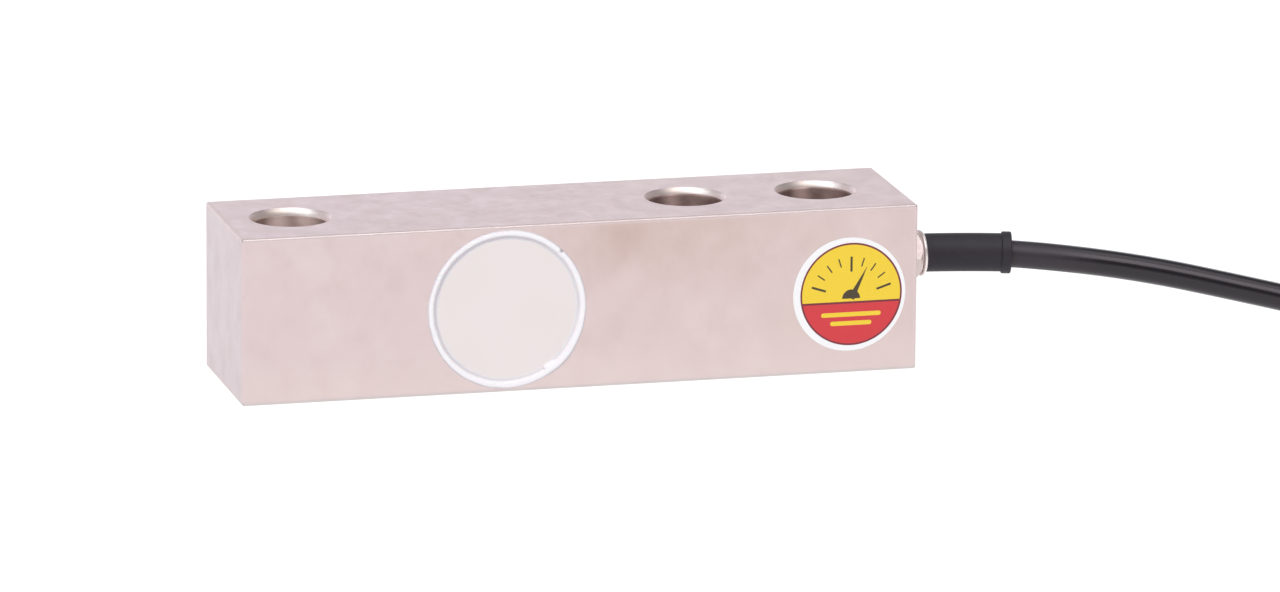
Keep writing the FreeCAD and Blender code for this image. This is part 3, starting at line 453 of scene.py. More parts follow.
    # Painted light and shade on the bolt holes' rims: warm and darker left of the hole's middle, bright as a painted
    # highlight right of it, other tones at the two far ends, and a darker outer border that is strongest on the left.
    rim = f.mix(f.step(along, -0.5, 5.0), RIM_WARM_SHADE, RIM)
    rim = f.mix(f.step(along, 5.0, 6.6), rim, RIM_RIGHT_HIGHLIGHT)
    rim = f.mix(f.step(along, -4.0, -6.6), rim, RIM_LEFT_SHADE)
    rim = f.mix(f.do("MULTIPLY", f.step(r, 7.42, 7.80), f.step(along, 1.0, 5.0, 0.9, 0.15)), rim, RIM_OUTER_SHADE)
    tone = f.mix(in_rim, tone, rim)
    # noise that breaks up the painted streaks in the bores
    streak_breakup = f.noise(0.3, 2.0, 0.5, stretch=(1.0, 1.0, 1.6), shift=(2.0, 5.0, 1.0))
    streak_breakup = f.step(streak_breakup, 0.36, 0.64)
    pale = f.step(x, 2.0, -2.0)
    # painted reflections and shade in the bores: upright streaks painted bright, darker between them, and lighter
    # overall in the bore of the hole at the bar's left end
    second = f.do("MULTIPLY", f.hill((along, 4.1, 1.6)), f.linear(pale, 0.0, 1.0, 0.42, 0.92))
    streak = f.do("ADD", f.hill((along, -0.8, 1.7)), second)
    streak = f.do("ADD", streak, f.linear(streak_breakup, 0.0, 1.0, 0.12, -0.16), clamp=True)
    bore = f.mix(pale, f.mix(streak, BORE_DARK, BORE), f.mix(streak, BORE_PALE_DARK, BORE_PALE))
    # painted shade at both ends of the bore's visible wall
    bore_end_shade = f.do("MAXIMUM", f.step(along, -2.4, -4.2, 0.0, 0.75), f.step(along, 5.8, 6.9, 0.0, 0.6))
    bore = f.mix(bore_end_shade, bore, BORE_END_SHADE)
    tone = f.mix(in_bore, tone, bore)
    f.colour(tone)
    rough = f.linear(mottle, 0.25, 0.75, 0.31, 0.40)
    rough = f.do("ADD", rough, f.linear(smears, 0.3, 0.7, -0.03, 0.05))
    rough = f.do("ADD", rough, f.do("MULTIPLY", on_edge, 0.16))
    rough = f.do("ADD", rough, f.do("MULTIPLY", in_rim, 0.07))
    rough = f.do("ADD", rough, f.do("MULTIPLY", in_bore, 0.08))
    f.roughness(rough)
    f.tree.links.new(f.do("SUBTRACT", 1.0, f.do("MULTIPLY", in_bore, 0.55)), f.shader.inputs["Metallic"])
    # grinding lines run along the bar but stop at the bores and rims, tool marks run round the bores
    turned = f.do("MAXIMUM", in_bore, in_rim)
    lines = f.noise(2.6, 3.0, 0.6, stretch=(0.05, 1.0, 1.0))
    tool = f.noise(1.0, 3.0, 0.6, stretch=(0.05, 0.05, 5.5))
    marks = f.do("ADD", f.do("MULTIPLY", lines, f.do("SUBTRACT", 1.0, turned)), f.do("MULTIPLY", tool, f.do("MULTIPLY", in_bore, 5.0)))
    f.bump((marks, 0.0022), (mottle, 0.0035))
    return f.material


def cover_plate():
    f = Finish("cover_plate", Metallic=1.0)
    x, y, z = f.xyz()
    patches = f.noise(0.09, 2.0, 0.5, shift=(5.0, 1.0, 8.0))
    mottle = f.noise(0.9, 4.0, 0.6)
    tone = f.mix(f.step(patches, 0.35, 0.68), (0.835, 0.762, 0.765), (0.82, 0.757, 0.748))
    tone = f.mix(f.linear(mottle, 0.3, 0.7, 0.0, 0.2), tone, (0.86, 0.79, 0.795))
    f.colour(tone)
    f.roughness(f.linear(mottle, 0.25, 0.75, 0.38, 0.46))
    f.bump((f.noise(3.2, 3.0, 0.6), 0.0012), (mottle, 0.002))
    return f.material


def sealant():
    f = Finish("sealant", Subsurface_Weight=0.10, Subsurface_Scale=0.0005, IOR=1.42)
    x, y, z = f.xyz()
    dx, dz = f.do("SUBTRACT", x, COVER_X), f.do("SUBTRACT", z, COVER_Z)
    r = f.do("SQRT", f.do("ADD", f.do("MULTIPLY", dx, dx), f.do("MULTIPLY", dz, dz)))
    wander = f.noise(0.35, 2.0, 0.5)
    r = f.do("ADD", r, f.linear(wander, 0.3, 0.7, -0.08, 0.08))
    # its inner side lies further in at the lower right than on the left
    lean = f.do("ADD", f.do("MULTIPLY", dx, -0.0047), f.do("MULTIPLY", dz, 0.0056))
    inside = f.do("SUBTRACT", r, f.do("ADD", lean, 0.03))
    # a thin film at the inner foot, painted grey as the shade under the bead's inner side, darker towards the top
    # left where that side faces away from the light
    top_left = f.linear(f.do("SUBTRACT", dz, dx), -20.0, 20.0, 0.0, 1.0)
    film = f.mix(top_left, (0.76, 0.715, 0.745), (0.60, 0.555, 0.60))
    tone = f.mix(f.step(r, 13.34, 13.56), (0.80, 0.755, 0.775), film)
    tone = f.mix(f.step(inside, 13.78, 14.14), tone, (0.89, 0.868, 0.898))
    tone = f.mix(f.linear(f.noise(0.8, 3.0, 0.6), 0.3, 0.7, 0.0, 0.35), tone, f.mix(1.0, tone, (0.95, 0.945, 0.96), "MULTIPLY"))
    # it thins out again at its outer foot; it is painted darker there, for the metal under the thin sealant and for
    # the shade where its side drops to the bar
    tone = f.mix(f.step(r, 14.78, 15.22, 0.0, 0.85), tone, (0.56, 0.515, 0.56))
    # where its end laps over its start it is thick right up to its inner side
    lapped = f.step(f.hill((x, -6.35, 1.5), (z, 5.0, 1.1)), 0.35, 0.7)
    tone = f.mix(f.do("MULTIPLY", lapped, f.step(r, 13.36, 13.50, 0.0, 0.85)), tone, (0.89, 0.868, 0.898))
    # painted shade: a dark spot in the nick in the bead's outer side
    nick_shade = f.hill((x, -4.1, 0.36), (z, 26.55, 0.30))
    tone = f.mix(f.do("MULTIPLY", nick_shade, 0.9), tone, (0.24, 0.225, 0.24))
    f.colour(tone)
    f.roughness(f.linear(f.noise(1.4, 3.0, 0.6), 0.3, 0.7, 0.32, 0.5))
    f.bump((f.noise(2.2, 3.0, 0.55), 0.02))
    return f.material


def vinyl(name, base, other, gloss=0.28):
    """Printed, laminated sticker film."""
    f = Finish(name, IOR=1.45, Coat_Weight=0.12, Coat_Roughness=0.15)
    grain = f.noise(4.0, 3.0, 0.6)
    f.colour(f.mix(f.linear(grain, 0.3, 0.7, 0.0, 1.0), base, other))
    f.roughness(f.linear(f.noise(0.8, 3.0, 0.6), 0.3, 0.7, gloss, gloss + 0.12))
    f.bump((f.noise(0.35, 2.0, 0.5), 0.01), (grain, 0.0008))
    return f.material


def gland_plating():
    """Satin plating; the turned groove between the nut's hexagon and its collar is matt and pale."""
    f = Finish("gland_plating")
    x, y, z = f.xyz()
    up, back = f.do("SUBTRACT", z, 15.9), f.do("SUBTRACT", y, 10.0)
    r = f.do("SQRT", f.do("ADD", f.do("MULTIPLY", up, up), f.do("MULTIPLY", back, back)))
    groove = f.do("MULTIPLY", f.step(r, 4.42, 4.25), f.do("MULTIPLY", f.step(x, 72.3, 72.6), f.step(x, 73.05, 72.95)))
    mottle = f.noise(1.1, 4.0, 0.6)
    tone = f.mix(f.linear(mottle, 0.3, 0.7, 0.0, 1.0), (0.690, 0.590, 0.578), (0.635, 0.535, 0.522))
    tone = f.mix(groove, tone, (0.80, 0.715, 0.70))
    # the collar is smoother and painted paler than the rest, the paler colour standing in for a brighter highlight on
    # it
    collar = f.step(x, 73.0, 73.15)
    tone = f.mix(collar, tone, (0.90, 0.825, 0.815))
    f.colour(tone)
    rough = f.linear(f.noise(2.4, 3.0, 0.6), 0.3, 0.7, 0.40, 0.52)
    f.roughness(f.do("SUBTRACT", rough, f.do("MULTIPLY", collar, 0.14)))
    f.tree.links.new(f.do("SUBTRACT", 1.0, f.do("MULTIPLY", groove, 0.7)), f.shader.inputs["Metallic"])
    f.bump((f.noise(1.0, 2.0, 0.6, stretch=(9.0, 0.15, 0.15)), 0.002), (mottle, 0.002))
    return f.material


def rubber(name, dark, light, rough=(0.5, 0.66), bump=0.012, scale=2.6, ior=1.48):
    f = Finish(name, IOR=ior, Specular_Tint=(0.97, 0.95, 1.0, 1.0))
    grain = f.noise(scale, 4.0, 0.62)
    bloom = f.noise(0.22, 3.0, 0.55)
    tone = f.mix(f.linear(grain, 0.32, 0.72, 0.0, 0.7), dark, light)
    tone = f.mix(f.step(bloom, 0.5, 0.78, 0.0, 0.35), tone, tuple(c * 1.35 for c in light))
    f.colour(tone)
    f.roughness(f.linear(bloom, 0.3, 0.7, *rough))
    f.bump((grain, bump), (f.noise(0.5, 2.0, 0.5), bump * 1.5))
    return f.material


def jacket():
    """Cable jacket: rubbed dull where the boot has been pushed along it, glossy from there on."""
    f = Finish("cable_jacket", IOR=1.53, Specular_Tint=(1.0, 0.92, 1.0, 1.0))
    x, y, z = f.xyz()
    grain = f.noise(3.5, 3.0, 0.6)
    scuff = f.noise(0.3, 4.0, 0.65)
    glossy = f.step(f.do("ADD", x, f.linear(scuff, 0.3, 0.7, -3.0, 3.0)), 95.0, 110.0)
    tone = f.mix(f.linear(grain, 0.3, 0.7, 0.0, 1.0), (0.0045, 0.0036, 0.0050), (0.0065, 0.0055, 0.0072))
    tone = f.mix(f.step(scuff, 0.55, 0.8, 0.0, 0.4), tone, (0.014, 0.0125, 0.0152))
    tone = f.mix(glossy, (0.0165, 0.0132, 0.0176), tone)
    f.colour(tone)
    f.roughness(f.do("ADD", f.linear(scuff, 0.3, 0.75, -0.03, 0.06), f.linear(glossy, 0.0, 1.0, 0.46, 0.13)))
    f.bump((f.noise(0.55, 2.0, 0.5), 0.02), (grain, 0.003))
    return f.material


def insulation(colour_name, base, other):
    f = Finish("insulation_" + colour_name, IOR=1.5)
    grain = f.noise(3.0, 3.0, 0.6)
    f.colour(f.mix(f.linear(grain, 0.3, 0.7, 0.0, 1.0), base, other))
    f.roughness(f.linear(f.noise(1.2, 3.0, 0.6), 0.3, 0.7, 0.3, 0.45))
    f.bump((f.noise(1.4, 2.0, 0.5), 0.01))
    return f.material


def metal(name, base, other, rough=(0.2, 0.34), scale=3.0):
    f = Finish(name, Metallic=1.0)
    grain = f.noise(scale, 4.0, 0.6)
    f.colour(f.mix(f.linear(grain, 0.3, 0.7, 0.0, 1.0), base, other))
    f.roughness(f.linear(f.noise(scale * 0.6, 3.0, 0.6), 0.3, 0.7, *rough))
    f.bump((grain, 0.003))
    return f.material


def flat_finish(name, base, other, rough=(0.4, 0.55), scale=2.0, bump=0.01, **constants):
    f = Finish(name, **constants)
    grain = f.noise(scale, 4.0, 0.6)
    f.colour(f.mix(f.linear(grain, 0.3, 0.7, 0.0, 1.0), base, other))
    f.roughness(f.linear(f.noise(scale * 0.4, 3.0, 0.6), 0.3, 0.7, *rough))
    f.bump((grain, bump))
    return f.material


def webbing():
    """Woven tie: fine crossing ribs."""
    f = Finish("tie_webbing", Sheen_Weight=0.35, Sheen_Roughness=0.5)
    x, y, z = f.xyz()
    w1 = f.do("SINE", f.do("MULTIPLY", x, 9.0))
    w2 = f.do("SINE", f.do("MULTIPLY", f.do("ADD", y, z), 9.0))
    weave = f.do("MULTIPLY", w1, w2)
    fuzz = f.noise(5.0, 3.0, 0.7)
    tone = f.mix(f.linear(weave, -1.0, 1.0, 0.0, 1.0), (0.022, 0.022, 0.024), (0.048, 0.048, 0.052))
    tone = f.mix(f.step(fuzz, 0.5, 0.8, 0.0, 0.5), tone, (0.075, 0.075, 0.08))
    f.colour(tone)
    f.roughness(f.linear(fuzz, 0.3, 0.7, 0.72, 0.9))
    f.bump((weave, 0.06), (fuzz, 0.05))
    return f.material


finish = {
    "plated_steel": plated_steel(),
    "cover_plate": cover_plate(),
    "sealant": sealant(),
    "sticker": vinyl("sticker_white", (0.90, 0.895, 0.915), (0.87, 0.868, 0.89)),
    "gland_plating": gland_plating(),
    "seal_rubber": rubber("seal_rubber", (0.016, 0.016, 0.017), (0.026, 0.026, 0.027), (0.42, 0.55)),
    "boot_rubber": rubber("boot_rubber", (0.0198, 0.0165, 0.0226), (0.0262, 0.0219, 0.0294), (0.52, 0.62), ior=1.40),
    "gauge_film": flat_finish("gauge_film", (0.62, 0.38, 0.10), (0.55, 0.32, 0.08), (0.25, 0.35), IOR=1.6),
    "gauge_foil": metal("gauge_foil", (0.70, 0.58, 0.46), (0.62, 0.50, 0.40)),
    "board": flat_finish("board", (0.03, 0.16, 0.07), (0.04, 0.20, 0.09), (0.3, 0.42)),
    "resistor": flat_finish("resistor", (0.03, 0.03, 0.035), (0.05, 0.05, 0.055), (0.35, 0.5)),
    "enamelled_wire": metal("enamelled_wire", (0.60, 0.24, 0.08), (0.52, 0.19, 0.06)),
    "insulation_red": insulation("red", (0.50, 0.018, 0.015), (0.42, 0.014, 0.012)),
    "insulation_black": insulation("black", (0.018, 0.018, 0.02), (0.028, 0.028, 0.03)),
    "insulation_green": insulation("green", (0.02, 0.22, 0.05), (0.016, 0.18, 0.04)),
    "insulation_white": insulation("white", (0.80, 0.79, 0.76), (0.73, 0.72, 0.69)),
    "potting": flat_finish("potting", (0.70, 0.70, 0.72), (0.62, 0.62, 0.65), (0.3, 0.45), scale=0.5),
    "cable_jacket": jacket(),
    "shrink_sleeve": rubber("shrink_sleeve", (0.014, 0.014, 0.015), (0.024, 0.024, 0.025), (0.3, 0.42), 0.008, 1.8),
    "tinned_copper": metal("tinned_copper", (0.76, 0.75, 0.73), (0.66, 0.63, 0.60), (0.16, 0.3)),
    "tie": webbing(),
}
print_red = vinyl("print_red", (0.66, 0.036, 0.046), (0.60, 0.030, 0.040))
print_yellow = vinyl("print_yellow", (0.88, 0.630, 0.032), (0.83, 0.585, 0.028))
print_dark = vinyl("print_dark", (0.052, 0.036, 0.012), (0.062, 0.044, 0.018))
print_maroon = vinyl("print_maroon", (0.20, 0.022, 0.035), (0.17, 0.018, 0.03))


def give(obj, slot_name):
    obj.data.materials.clear()
    obj.data.materials.append(finish[slot_name])
    return obj


node_slots = {
    "beam_body": "plated_steel",
    "front_cover_disc": "cover_plate",
    "rear_cover_disc": "cover_plate",
    "front_seal_bead": "sealant",
    "rear_seal_bead": "sealant",
    "round_sticker": "sticker",
    "gland_body": "gland_plating",
    "gland_nut": "gland_plating",
    "clamp_washer": "gland_plating",
    "gland_o_ring": "seal_rubber",
    "cable_grommet": "seal_rubber",
    "strain_relief_boot": "boot_rubber",
    "front_gauge_carrier": "gauge_film",
    "rear_gauge_carrier": "gauge_film",
    "front_gauge_foil": "gauge_foil",
    "rear_gauge_foil": "gauge_foil",
    "front_terminal_board": "board",
    "rear_terminal_board": "board",
    "compensation_board": "board",
    "trim_resistors": "resistor",
    "crossover_wires": "enamelled_wire",
    "front_jumper_wires": "enamelled_wire",
    "rear_jumper_wires": "enamelled_wire",
    "core_red": "insulation_red",
    "core_black": "insulation_black",
    "core_green": "insulation_green",
    "core_white": "insulation_white",
    "front_potting": "potting",
    "rear_potting": "potting",
    "signal_cable": "cable_jacket",
    "cable_hank": "cable_jacket",
    "cable_tail": "cable_jacket",
    "tail_sleeve": "shrink_sleeve",
    "lead_red": "insulation_red",
    "lead_black": "insulation_black",
    "lead_green": "insulation_green",
    "lead_white": "insulation_white",
    "lead_drain": "tinned_copper",
    "lead_tips": "tinned_copper",
    "hank_ties": "tie",
}
for name, slot_name in node_slots.items():
    give(nodes[name], slot_name)


def piece(obj, slot_name, *stands_for, own=True):
    """A finished new piece of the object."""
    if own:
        give(obj, slot_name)
    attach(obj, "root")
    if stands_for:
        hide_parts(*stands_for)
    return obj


# ---------------------------------------------------------------------- sealant beads
def bead(name, side, shape):
    """A bead of sealant laid round a cover by hand: its width, height and edge wander."""
    count = 720
    vertices = []
    for i in range(count):
        a = 2 * math.pi * i / count
        foot, inner, outer, crest, proud = shape(a)
        # section: thin film on the cover, inner side, crest, outer foot on the bar, and down into the groove
        section = [
            (foot - 0.03, 15.66),
            (foot, 15.703),
            (foot + 0.10, 15.722),
            (0.5 * foot + 0.5 * inner, 15.745),
            (inner - 0.10, 15.775),
            (inner, 15.82),
            (inner + 0.06, 15.85 + 0.20 * proud),
            (inner + 0.15, 15.88 + 0.55 * proud),
            (inner + 0.28, 15.90 + 0.84 * proud),
            (crest - 0.12, 15.90 + 0.98 * proud),
            (crest + 0.06, 15.90 + proud),
            (crest + 0.20, 15.90 + 0.95 * proud),
            (0.5 * crest + 0.5 * outer + 0.06, 15.90 + 0.78 * proud),
            (0.25 * crest + 0.75 * outer + 0.03, 15.90 + 0.48 * proud),
            (0.1 * crest + 0.9 * outer, 15.905 + 0.20 * proud),
            (outer, 15.905),
            (outer + 0.03, 15.87),
            (14.4, 15.86),
            (14.4, 14.72),
            (14.1, 14.72),
            (14.1, 15.62),
        ]
        for r, y in section:
            vertices.append(
                ((COVER_X + r * math.cos(a)) * MM, side * y * MM, (COVER_Z + r * math.sin(a)) * MM)
            )
    return mesh_object(name, vertices, rings_to_faces(count, 21, closed_line=True))


def near(a, degrees, width):
    d = (math.degrees(a) - degrees + 180) % 360 - 180
    return math.exp(-((d / width) ** 2))


def between(a, start, end):
    """A soft step round the circle, from 0 at start to 1 at end (degrees, near the lower right)."""
    d = (math.degrees(a) + 180) % 360 - 180
    u = min(1.0, max(0.0, (d - start) / (end - start)))
    return u * u * (3 - 2 * u)


def wobble(a, seed, rate):
    return noise.noise(Vector((math.cos(a) * rate + seed, math.sin(a) * rate, seed * 1.7)))


def front_shape(a):
    low_right = 0.5 + 0.5 * math.cos(a - math.radians(300))
    foot = 13.22 + 0.05 * wobble(a, 3.1, 2.2) + 0.03 * wobble(a, 8.4, 7.0)
    left = 0.5 + 0.5 * math.cos(a - math.radians(150))
    inner = 13.93 + 0.05 * wobble(a, 7.3, 2.6) + 0.03 * wobble(a, 4.4, 8.0) + 0.14 * left - 0.14 * low_right
    outer = 15.14 + 0.12 * low_right + 0.06 * wobble(a, 5.7, 2.6) + 0.04 * wobble(a, 1.3, 8.0)
    proud = 0.28 + 0.14 * low_right + 0.04 * wobble(a, 6.6, 3.0) + 0.03 * wobble(a, 2.9, 9.0)
    crest = 14.50 + 0.08 * low_right + 0.05 * wobble(a, 4.2, 2.4)
    # the end of the bead laps over its start and is smeared outwards
    smear, lap = near(a, -44, 15.0), between(a, -59.6, -58.4) * (1 - between(a, -56.0, -46.0))
    outer += 0.34 * smear - 0.10 * near(a, -64, 4.0)
    inner -= 0.40 * lap
    foot -= 0.06 * lap
    proud += 0.12 * lap + 0.03 * smear
    crest += 0.16 * smear - 0.14 * lap
    # a nick in its outer side
    nick = near(a, 45.6, 1.25)
    outer -= 0.10 * nick
    proud -= 0.14 * nick
    crest -= 0.05 * nick
    swell = near(a, 42.4, 1.6) + 0.7 * near(a, 49.2, 2.0)
    proud += 0.05 * swell
    outer += 0.05 * swell
    return foot, inner, outer, crest, proud


def rear_shape(a):
    low = 0.5 + 0.5 * math.cos(a - math.radians(255))
    foot = 13.24 + 0.06 * wobble(a, 23.1, 2.0) + 0.03 * wobble(a, 28.4, 7.5)
    inner = 13.93 + 0.05 * wobble(a, 27.3, 2.4) + 0.03 * wobble(a, 24.4, 8.0)
    outer = 15.16 + 0.10 * low + 0.07 * wobble(a, 25.7, 2.4) + 0.05 * wobble(a, 21.3, 8.5)
    proud = 0.30 + 0.12 * low + 0.05 * wobble(a, 26.6, 3.2) + 0.03 * wobble(a, 22.9, 9.0)
    crest = 14.52 + 0.06 * low + 0.05 * wobble(a, 24.2, 2.4)
    lap = near(a, 236, 3.0)
    outer += 0.30 * near(a, 246, 8.0)
    inner -= 0.24 * lap
    proud += 0.10 * lap
    return foot, inner, outer, crest, proud


piece(bead("seal_front", -1, front_shape), "sealant", "front_seal_bead")
piece(bead("seal_rear", 1, rear_shape), "sealant", "rear_seal_bead")

# ---------------------------------------------------------------------------- sticker
# print on the round sticker: plain fields of colour with a scale of ticks and a pointer
PRINT_X, PRINT_Z, PRINT_R = 52.1, 15.2, 9.9
FACE_Y = -16.02


def printed(name, outlines, lift, material, flat_top=True):
    """Filled flat outlines, each a list of (x, z), standing lift proud of the sticker's face."""
    vertices, faces = [], []
    for points in outlines:
        n, first = len(points), len(vertices)
        for y in (FACE_Y + 0.004, FACE_Y - lift):
            vertices += [(px * MM, y * MM, pz * MM) for px, pz in points]
        faces.append(tuple(first + i for i in range(n)))
        faces.append(tuple(first + n + i for i in reversed(range(n))))
        for i in range(n):
            j = (i + 1) % n
            faces.append((first + i, first + n + i, first + n + j, first + j))
    obj = mesh_object(name, vertices, faces, smooth=False)
    obj.data.materials.clear()
    obj.data.materials.append(material)
    return piece(obj, "sticker", own=False)


def on_circle(r, a, cx=PRINT_X, cz=PRINT_Z):
    return (cx + r * math.cos(math.radians(a)), cz + r * math.sin(math.radians(a)))


def band(r0, r1, a0, a1, cx=PRINT_X, cz=PRINT_Z, steps=48):
    angles = [a0 + (a1 - a0) * i / steps for i in range(steps + 1)]
    return [on_circle(r1, a, cx, cz) for a in angles] + [on_circle(r0, a, cx, cz) for a in reversed(angles)]


def segment(r, height, upper, steps=72):
    """The part of the print's disc above or below a level."""
    a = math.degrees(math.asin(height / r))
    start, end = (a, 180 - a) if upper else (180 - a, 360 + a)
    return [on_circle(r, start + (end - start) * i / steps) for i in range(steps + 1)]


SPLIT = -1.6
printed(
    "print_outline",
    [band(PRINT_R - 0.34, PRINT_R, 0, 180), band(PRINT_R - 0.34, PRINT_R, 180, 360)],
    0.022,
    print_maroon,
)
printed("print_lower_field", [segment(PRINT_R - 0.34, SPLIT - 0.2, False)], 0.016, print_red)
printed("print_upper_field", [segment(PRINT_R - 0.34, SPLIT + 0.2, True)], 0.016, print_yellow)
hub = (PRINT_X, PRINT_Z + SPLIT + 0.75)
ticks = []
for i in range(9):
    a = 18 + 18 * i
    long = i % 4 == 0
    r0, r1, w = (5.2, 8.1, 0.42) if long else (6.4, 8.1, 0.26)
    d = math.radians(a)
    ox, oz = -math.sin(d) * w / 2, math.cos(d) * w / 2
    p, q = on_circle(r0, a, *hub), on_circle(r1, a, *hub)
    ticks.append([(p[0] - ox, p[1] - oz), (q[0] - ox, q[1] - oz), (q[0] + ox, q[1] + oz), (p[0] + ox, p[1] + oz)])
d = math.radians(63)
tip = on_circle(6.9, 63, *hub)
side_x, side_z = -math.sin(d) * 0.62, math.cos(d) * 0.62
pointer = [(hub[0] - side_x, hub[1] - side_z), tip, (hub[0] + side_x, hub[1] + side_z)]
half_hub = [on_circle(1.75, 180 * i / 24, *hub) for i in range(25)]
bar_half = math.sqrt((PRINT_R - 0.34) ** 2 - SPLIT**2)
divider = [
    (PRINT_X - bar_half, PRINT_Z + SPLIT - 0.2),
    (PRINT_X + bar_half, PRINT_Z + SPLIT - 0.2),
    (PRINT_X + bar_half, PRINT_Z + SPLIT + 0.2),
    (PRINT_X - bar_half, PRINT_Z + SPLIT + 0.2),
]
printed("print_scale", ticks + [half_hub], 0.026, print_dark)
printed("print_pointer", [pointer], 0.030, print_dark)
printed("print_divider", [divider], 0.024, print_maroon)
stripe = []
for level, half in ((-3.9, 5.4), (-5.6, 3.6)):
    z0 = PRINT_Z + level
    ends = [(PRINT_X + half + 0.42 * math.cos(a), z0 + 0.42 * math.sin(a)) for a in np.linspace(-math.pi / 2, math.pi / 2, 13)]
    ends += [(PRINT_X - half + 0.42 * math.cos(a), z0 + 0.42 * math.sin(a)) for a in np.linspace(math.pi / 2, 3 * math.pi / 2, 13)]
    stripe.append(ends)
printed("print_bars", stripe, 0.024, print_yellow)

# ------------------------------------------------------------------ stripped cable end
tail_end = np.array(tail[-1])
tail_way = tail_end - np.array(tail[-2])
tail_way /= np.linalg.norm(tail_way)
sleeve_at = tail_end - tail_way * 4.4
# shrunk on: tight at the jacket, a soft ridge, drawn in over the leads
sleeve_profile = [
    (0.0, 2.62), (0.0, 2.96), (0.12, 3.09), (0.5, 3.14), (1.2, 3.12), (2.2, 3.15), (3.2, 3.13), (3.9, 3.1),
    (4.3, 2.98), (4.65, 2.72), (4.85, 2.46), (5.0, 2.2), (5.0, 0.3), (4.4, 0.3), (4.4, 2.62),
]
sleeve = mesh_object("end_sleeve", *spun(sleeve_profile, sleeve_at, tail_way))
piece(sleeve, "shrink_sleeve", "tail_sleeve")


def line_of(points, steps=14):
    """The points along a smooth spline with these control points, in metres."""
    probe = spline_of("probe", points, 0.0, steps=steps)
    probe.data.use_fill_caps = False
    mesh = bpy.data.meshes.new_from_object(probe)
    line = np.array([v.co[:] for v in mesh.vertices])
    bpy.data.meshes.remove(mesh)
    data = probe.data
    bpy.data.objects.remove(probe)
    bpy.data.curves.remove(data)
    return line


drain_line = line_of(lead_routes["drain"], steps=24)
drain = mesh_object("drain_strands", *strands(drain_line, 6, 0.15 * MM, 0.30 * MM, 7.0 * MM))
piece(drain, "tinned_copper", "lead_drain")
tip_vertices, tip_faces = [], []
for c in ("red", "black", "green", "white"):
    p, q = np.array(lead_routes[c][-2]), np.array(lead_routes[c][-1])
    out = (q - p) / np.linalg.norm(q - p)
    line = np.array([q - out * 0.8 + out * s for s in np.linspace(0, 6.8, 40)]) * MM
    v, f = strands(line, 6, 0.11 * MM, 0.215 * MM, 5.0 * MM)
    tip_faces += [tuple(i + len(tip_vertices) for i in face) for face in f]
    tip_vertices += v
tips = mesh_object("tip_strands", tip_vertices, tip_faces)
piece(tips, "tinned_copper", "lead_tips")
for c, obj in leads.items():
    piece(obj, "insulation_" + c, "lead_" + c)


# -------------------------------------------------------------------------------- ties
def tie(name, y_in, y_out, z_low, z_high, x_mid, width, begin, flip):
    """A woven strap round one side of the hank, its end lapped over itself and rounded off."""
    r = 2.2
    t = 0.8
    corners = []

    def corner(cy, cz, a0):
        return [
            (cy + (r + t / 2) * math.cos(math.radians(a0 + 90 * i / 8)), cz + (r + t / 2) * math.sin(math.radians(a0 + 90 * i / 8)))
            for i in range(9)
        ]

    loop = []
    loop += corner(y_out - r, z_high - r, 0)
    loop += corner(y_in + r, z_high - r, 90)
    loop += corner(y_in + r, z_low + r, 180)
    loop += corner(y_out - r, z_low + r, 270)
    loop = np.array(loop)
    # evenly spaced points round the loop, starting half way up one side
    closed = np.vstack([loop, loop[:1]])
    seg = np.linalg.norm(np.diff(closed, axis=0), axis=1)
    total = seg.sum()
    along = np.concatenate([[0], np.cumsum(seg)])

    def at(s):
        s = s % total
        return np.array([np.interp(s, along, closed[:, 0]), np.interp(s, along, closed[:, 1])])

    steps = 240
    lap = 13.0
    start = along[begin[0]] + begin[1]  # the lap lies over the top and down the hank's inner side
    pts, lift = [], []
    for i in range(steps + 1):
        s = start + (total + lap) * i / steps
        over = max(0.0, (total + lap) * i / steps - total)
        before = max(0.0, 3.0 - (total - (total + lap) * i / steps)) if over == 0 else 3.0
        rise = 0.86 * (lambda u: u * u * (3 - 2 * u))(min(1.0, before / 3.0)) if over == 0 else 0.86
        pts.append(at(s))
        lift.append(rise)
    pts = np.array(pts)
    tangent = np.gradient(pts, axis=0)
    tangent /= np.linalg.norm(tangent, axis=1)[:, None]
    outward = np.stack([tangent[:, 1], -tangent[:, 0]], axis=1)
    pts = pts + outward * np.array(lift)[:, None]
    vertices = []
    across = 10
    for i in range(steps + 1):
        left_over = (total + lap) * (steps - i) / steps
        half = width / 2
        if left_over < half:  # rounded end
            half = math.sqrt(max(0.02, 1 - ((half - left_over) / half) ** 2)) * half
        half += 0.05 * noise.noise(Vector((i * 0.13, flip * 9.0, 2.0)))
        ring = []
        for k in range(across + 1):
            u = -1 + 2 * k / across
            thick = t / 2 * (1 - 0.28 * abs(u) ** 6)
            ring.append((u * half, thick))
        for u, thick in ring:
            p = pts[i] + outward[i] * thick
            vertices.append((x_mid + u, p[0], p[1]))
        for u, thick in reversed(ring):
            p = pts[i] - outward[i] * thick
            vertices.append((x_mid + u, p[0], p[1]))
    n = 2 * (across + 1)
    faces = rings_to_faces(steps + 1, n)
    faces.append(tuple(range(n)))
    faces.append(tuple(reversed(range(steps * n, (steps + 1) * n))))
    return mesh_object(name, [tuple(c * MM for c in v) for v in vertices], faces)


strap_front = tie("tie_front", -20.6, -10.1, 0.8, 27.0, 230.5, 6.0, (35, 16.4), 1)
strap_rear = tie("tie_rear", 16.1, 26.6, 0.8, 27.0, 230.5, 6.0, (8, 0.8), 2)
piece(strap_front, "tie", "hank_ties")
piece(strap_rear, "tie", "hank_ties")

# --------------------------------------------------------------- the cable, as declared
piece(cable, "cable_jacket", "signal_cable", "cable_hank", "cable_tail")

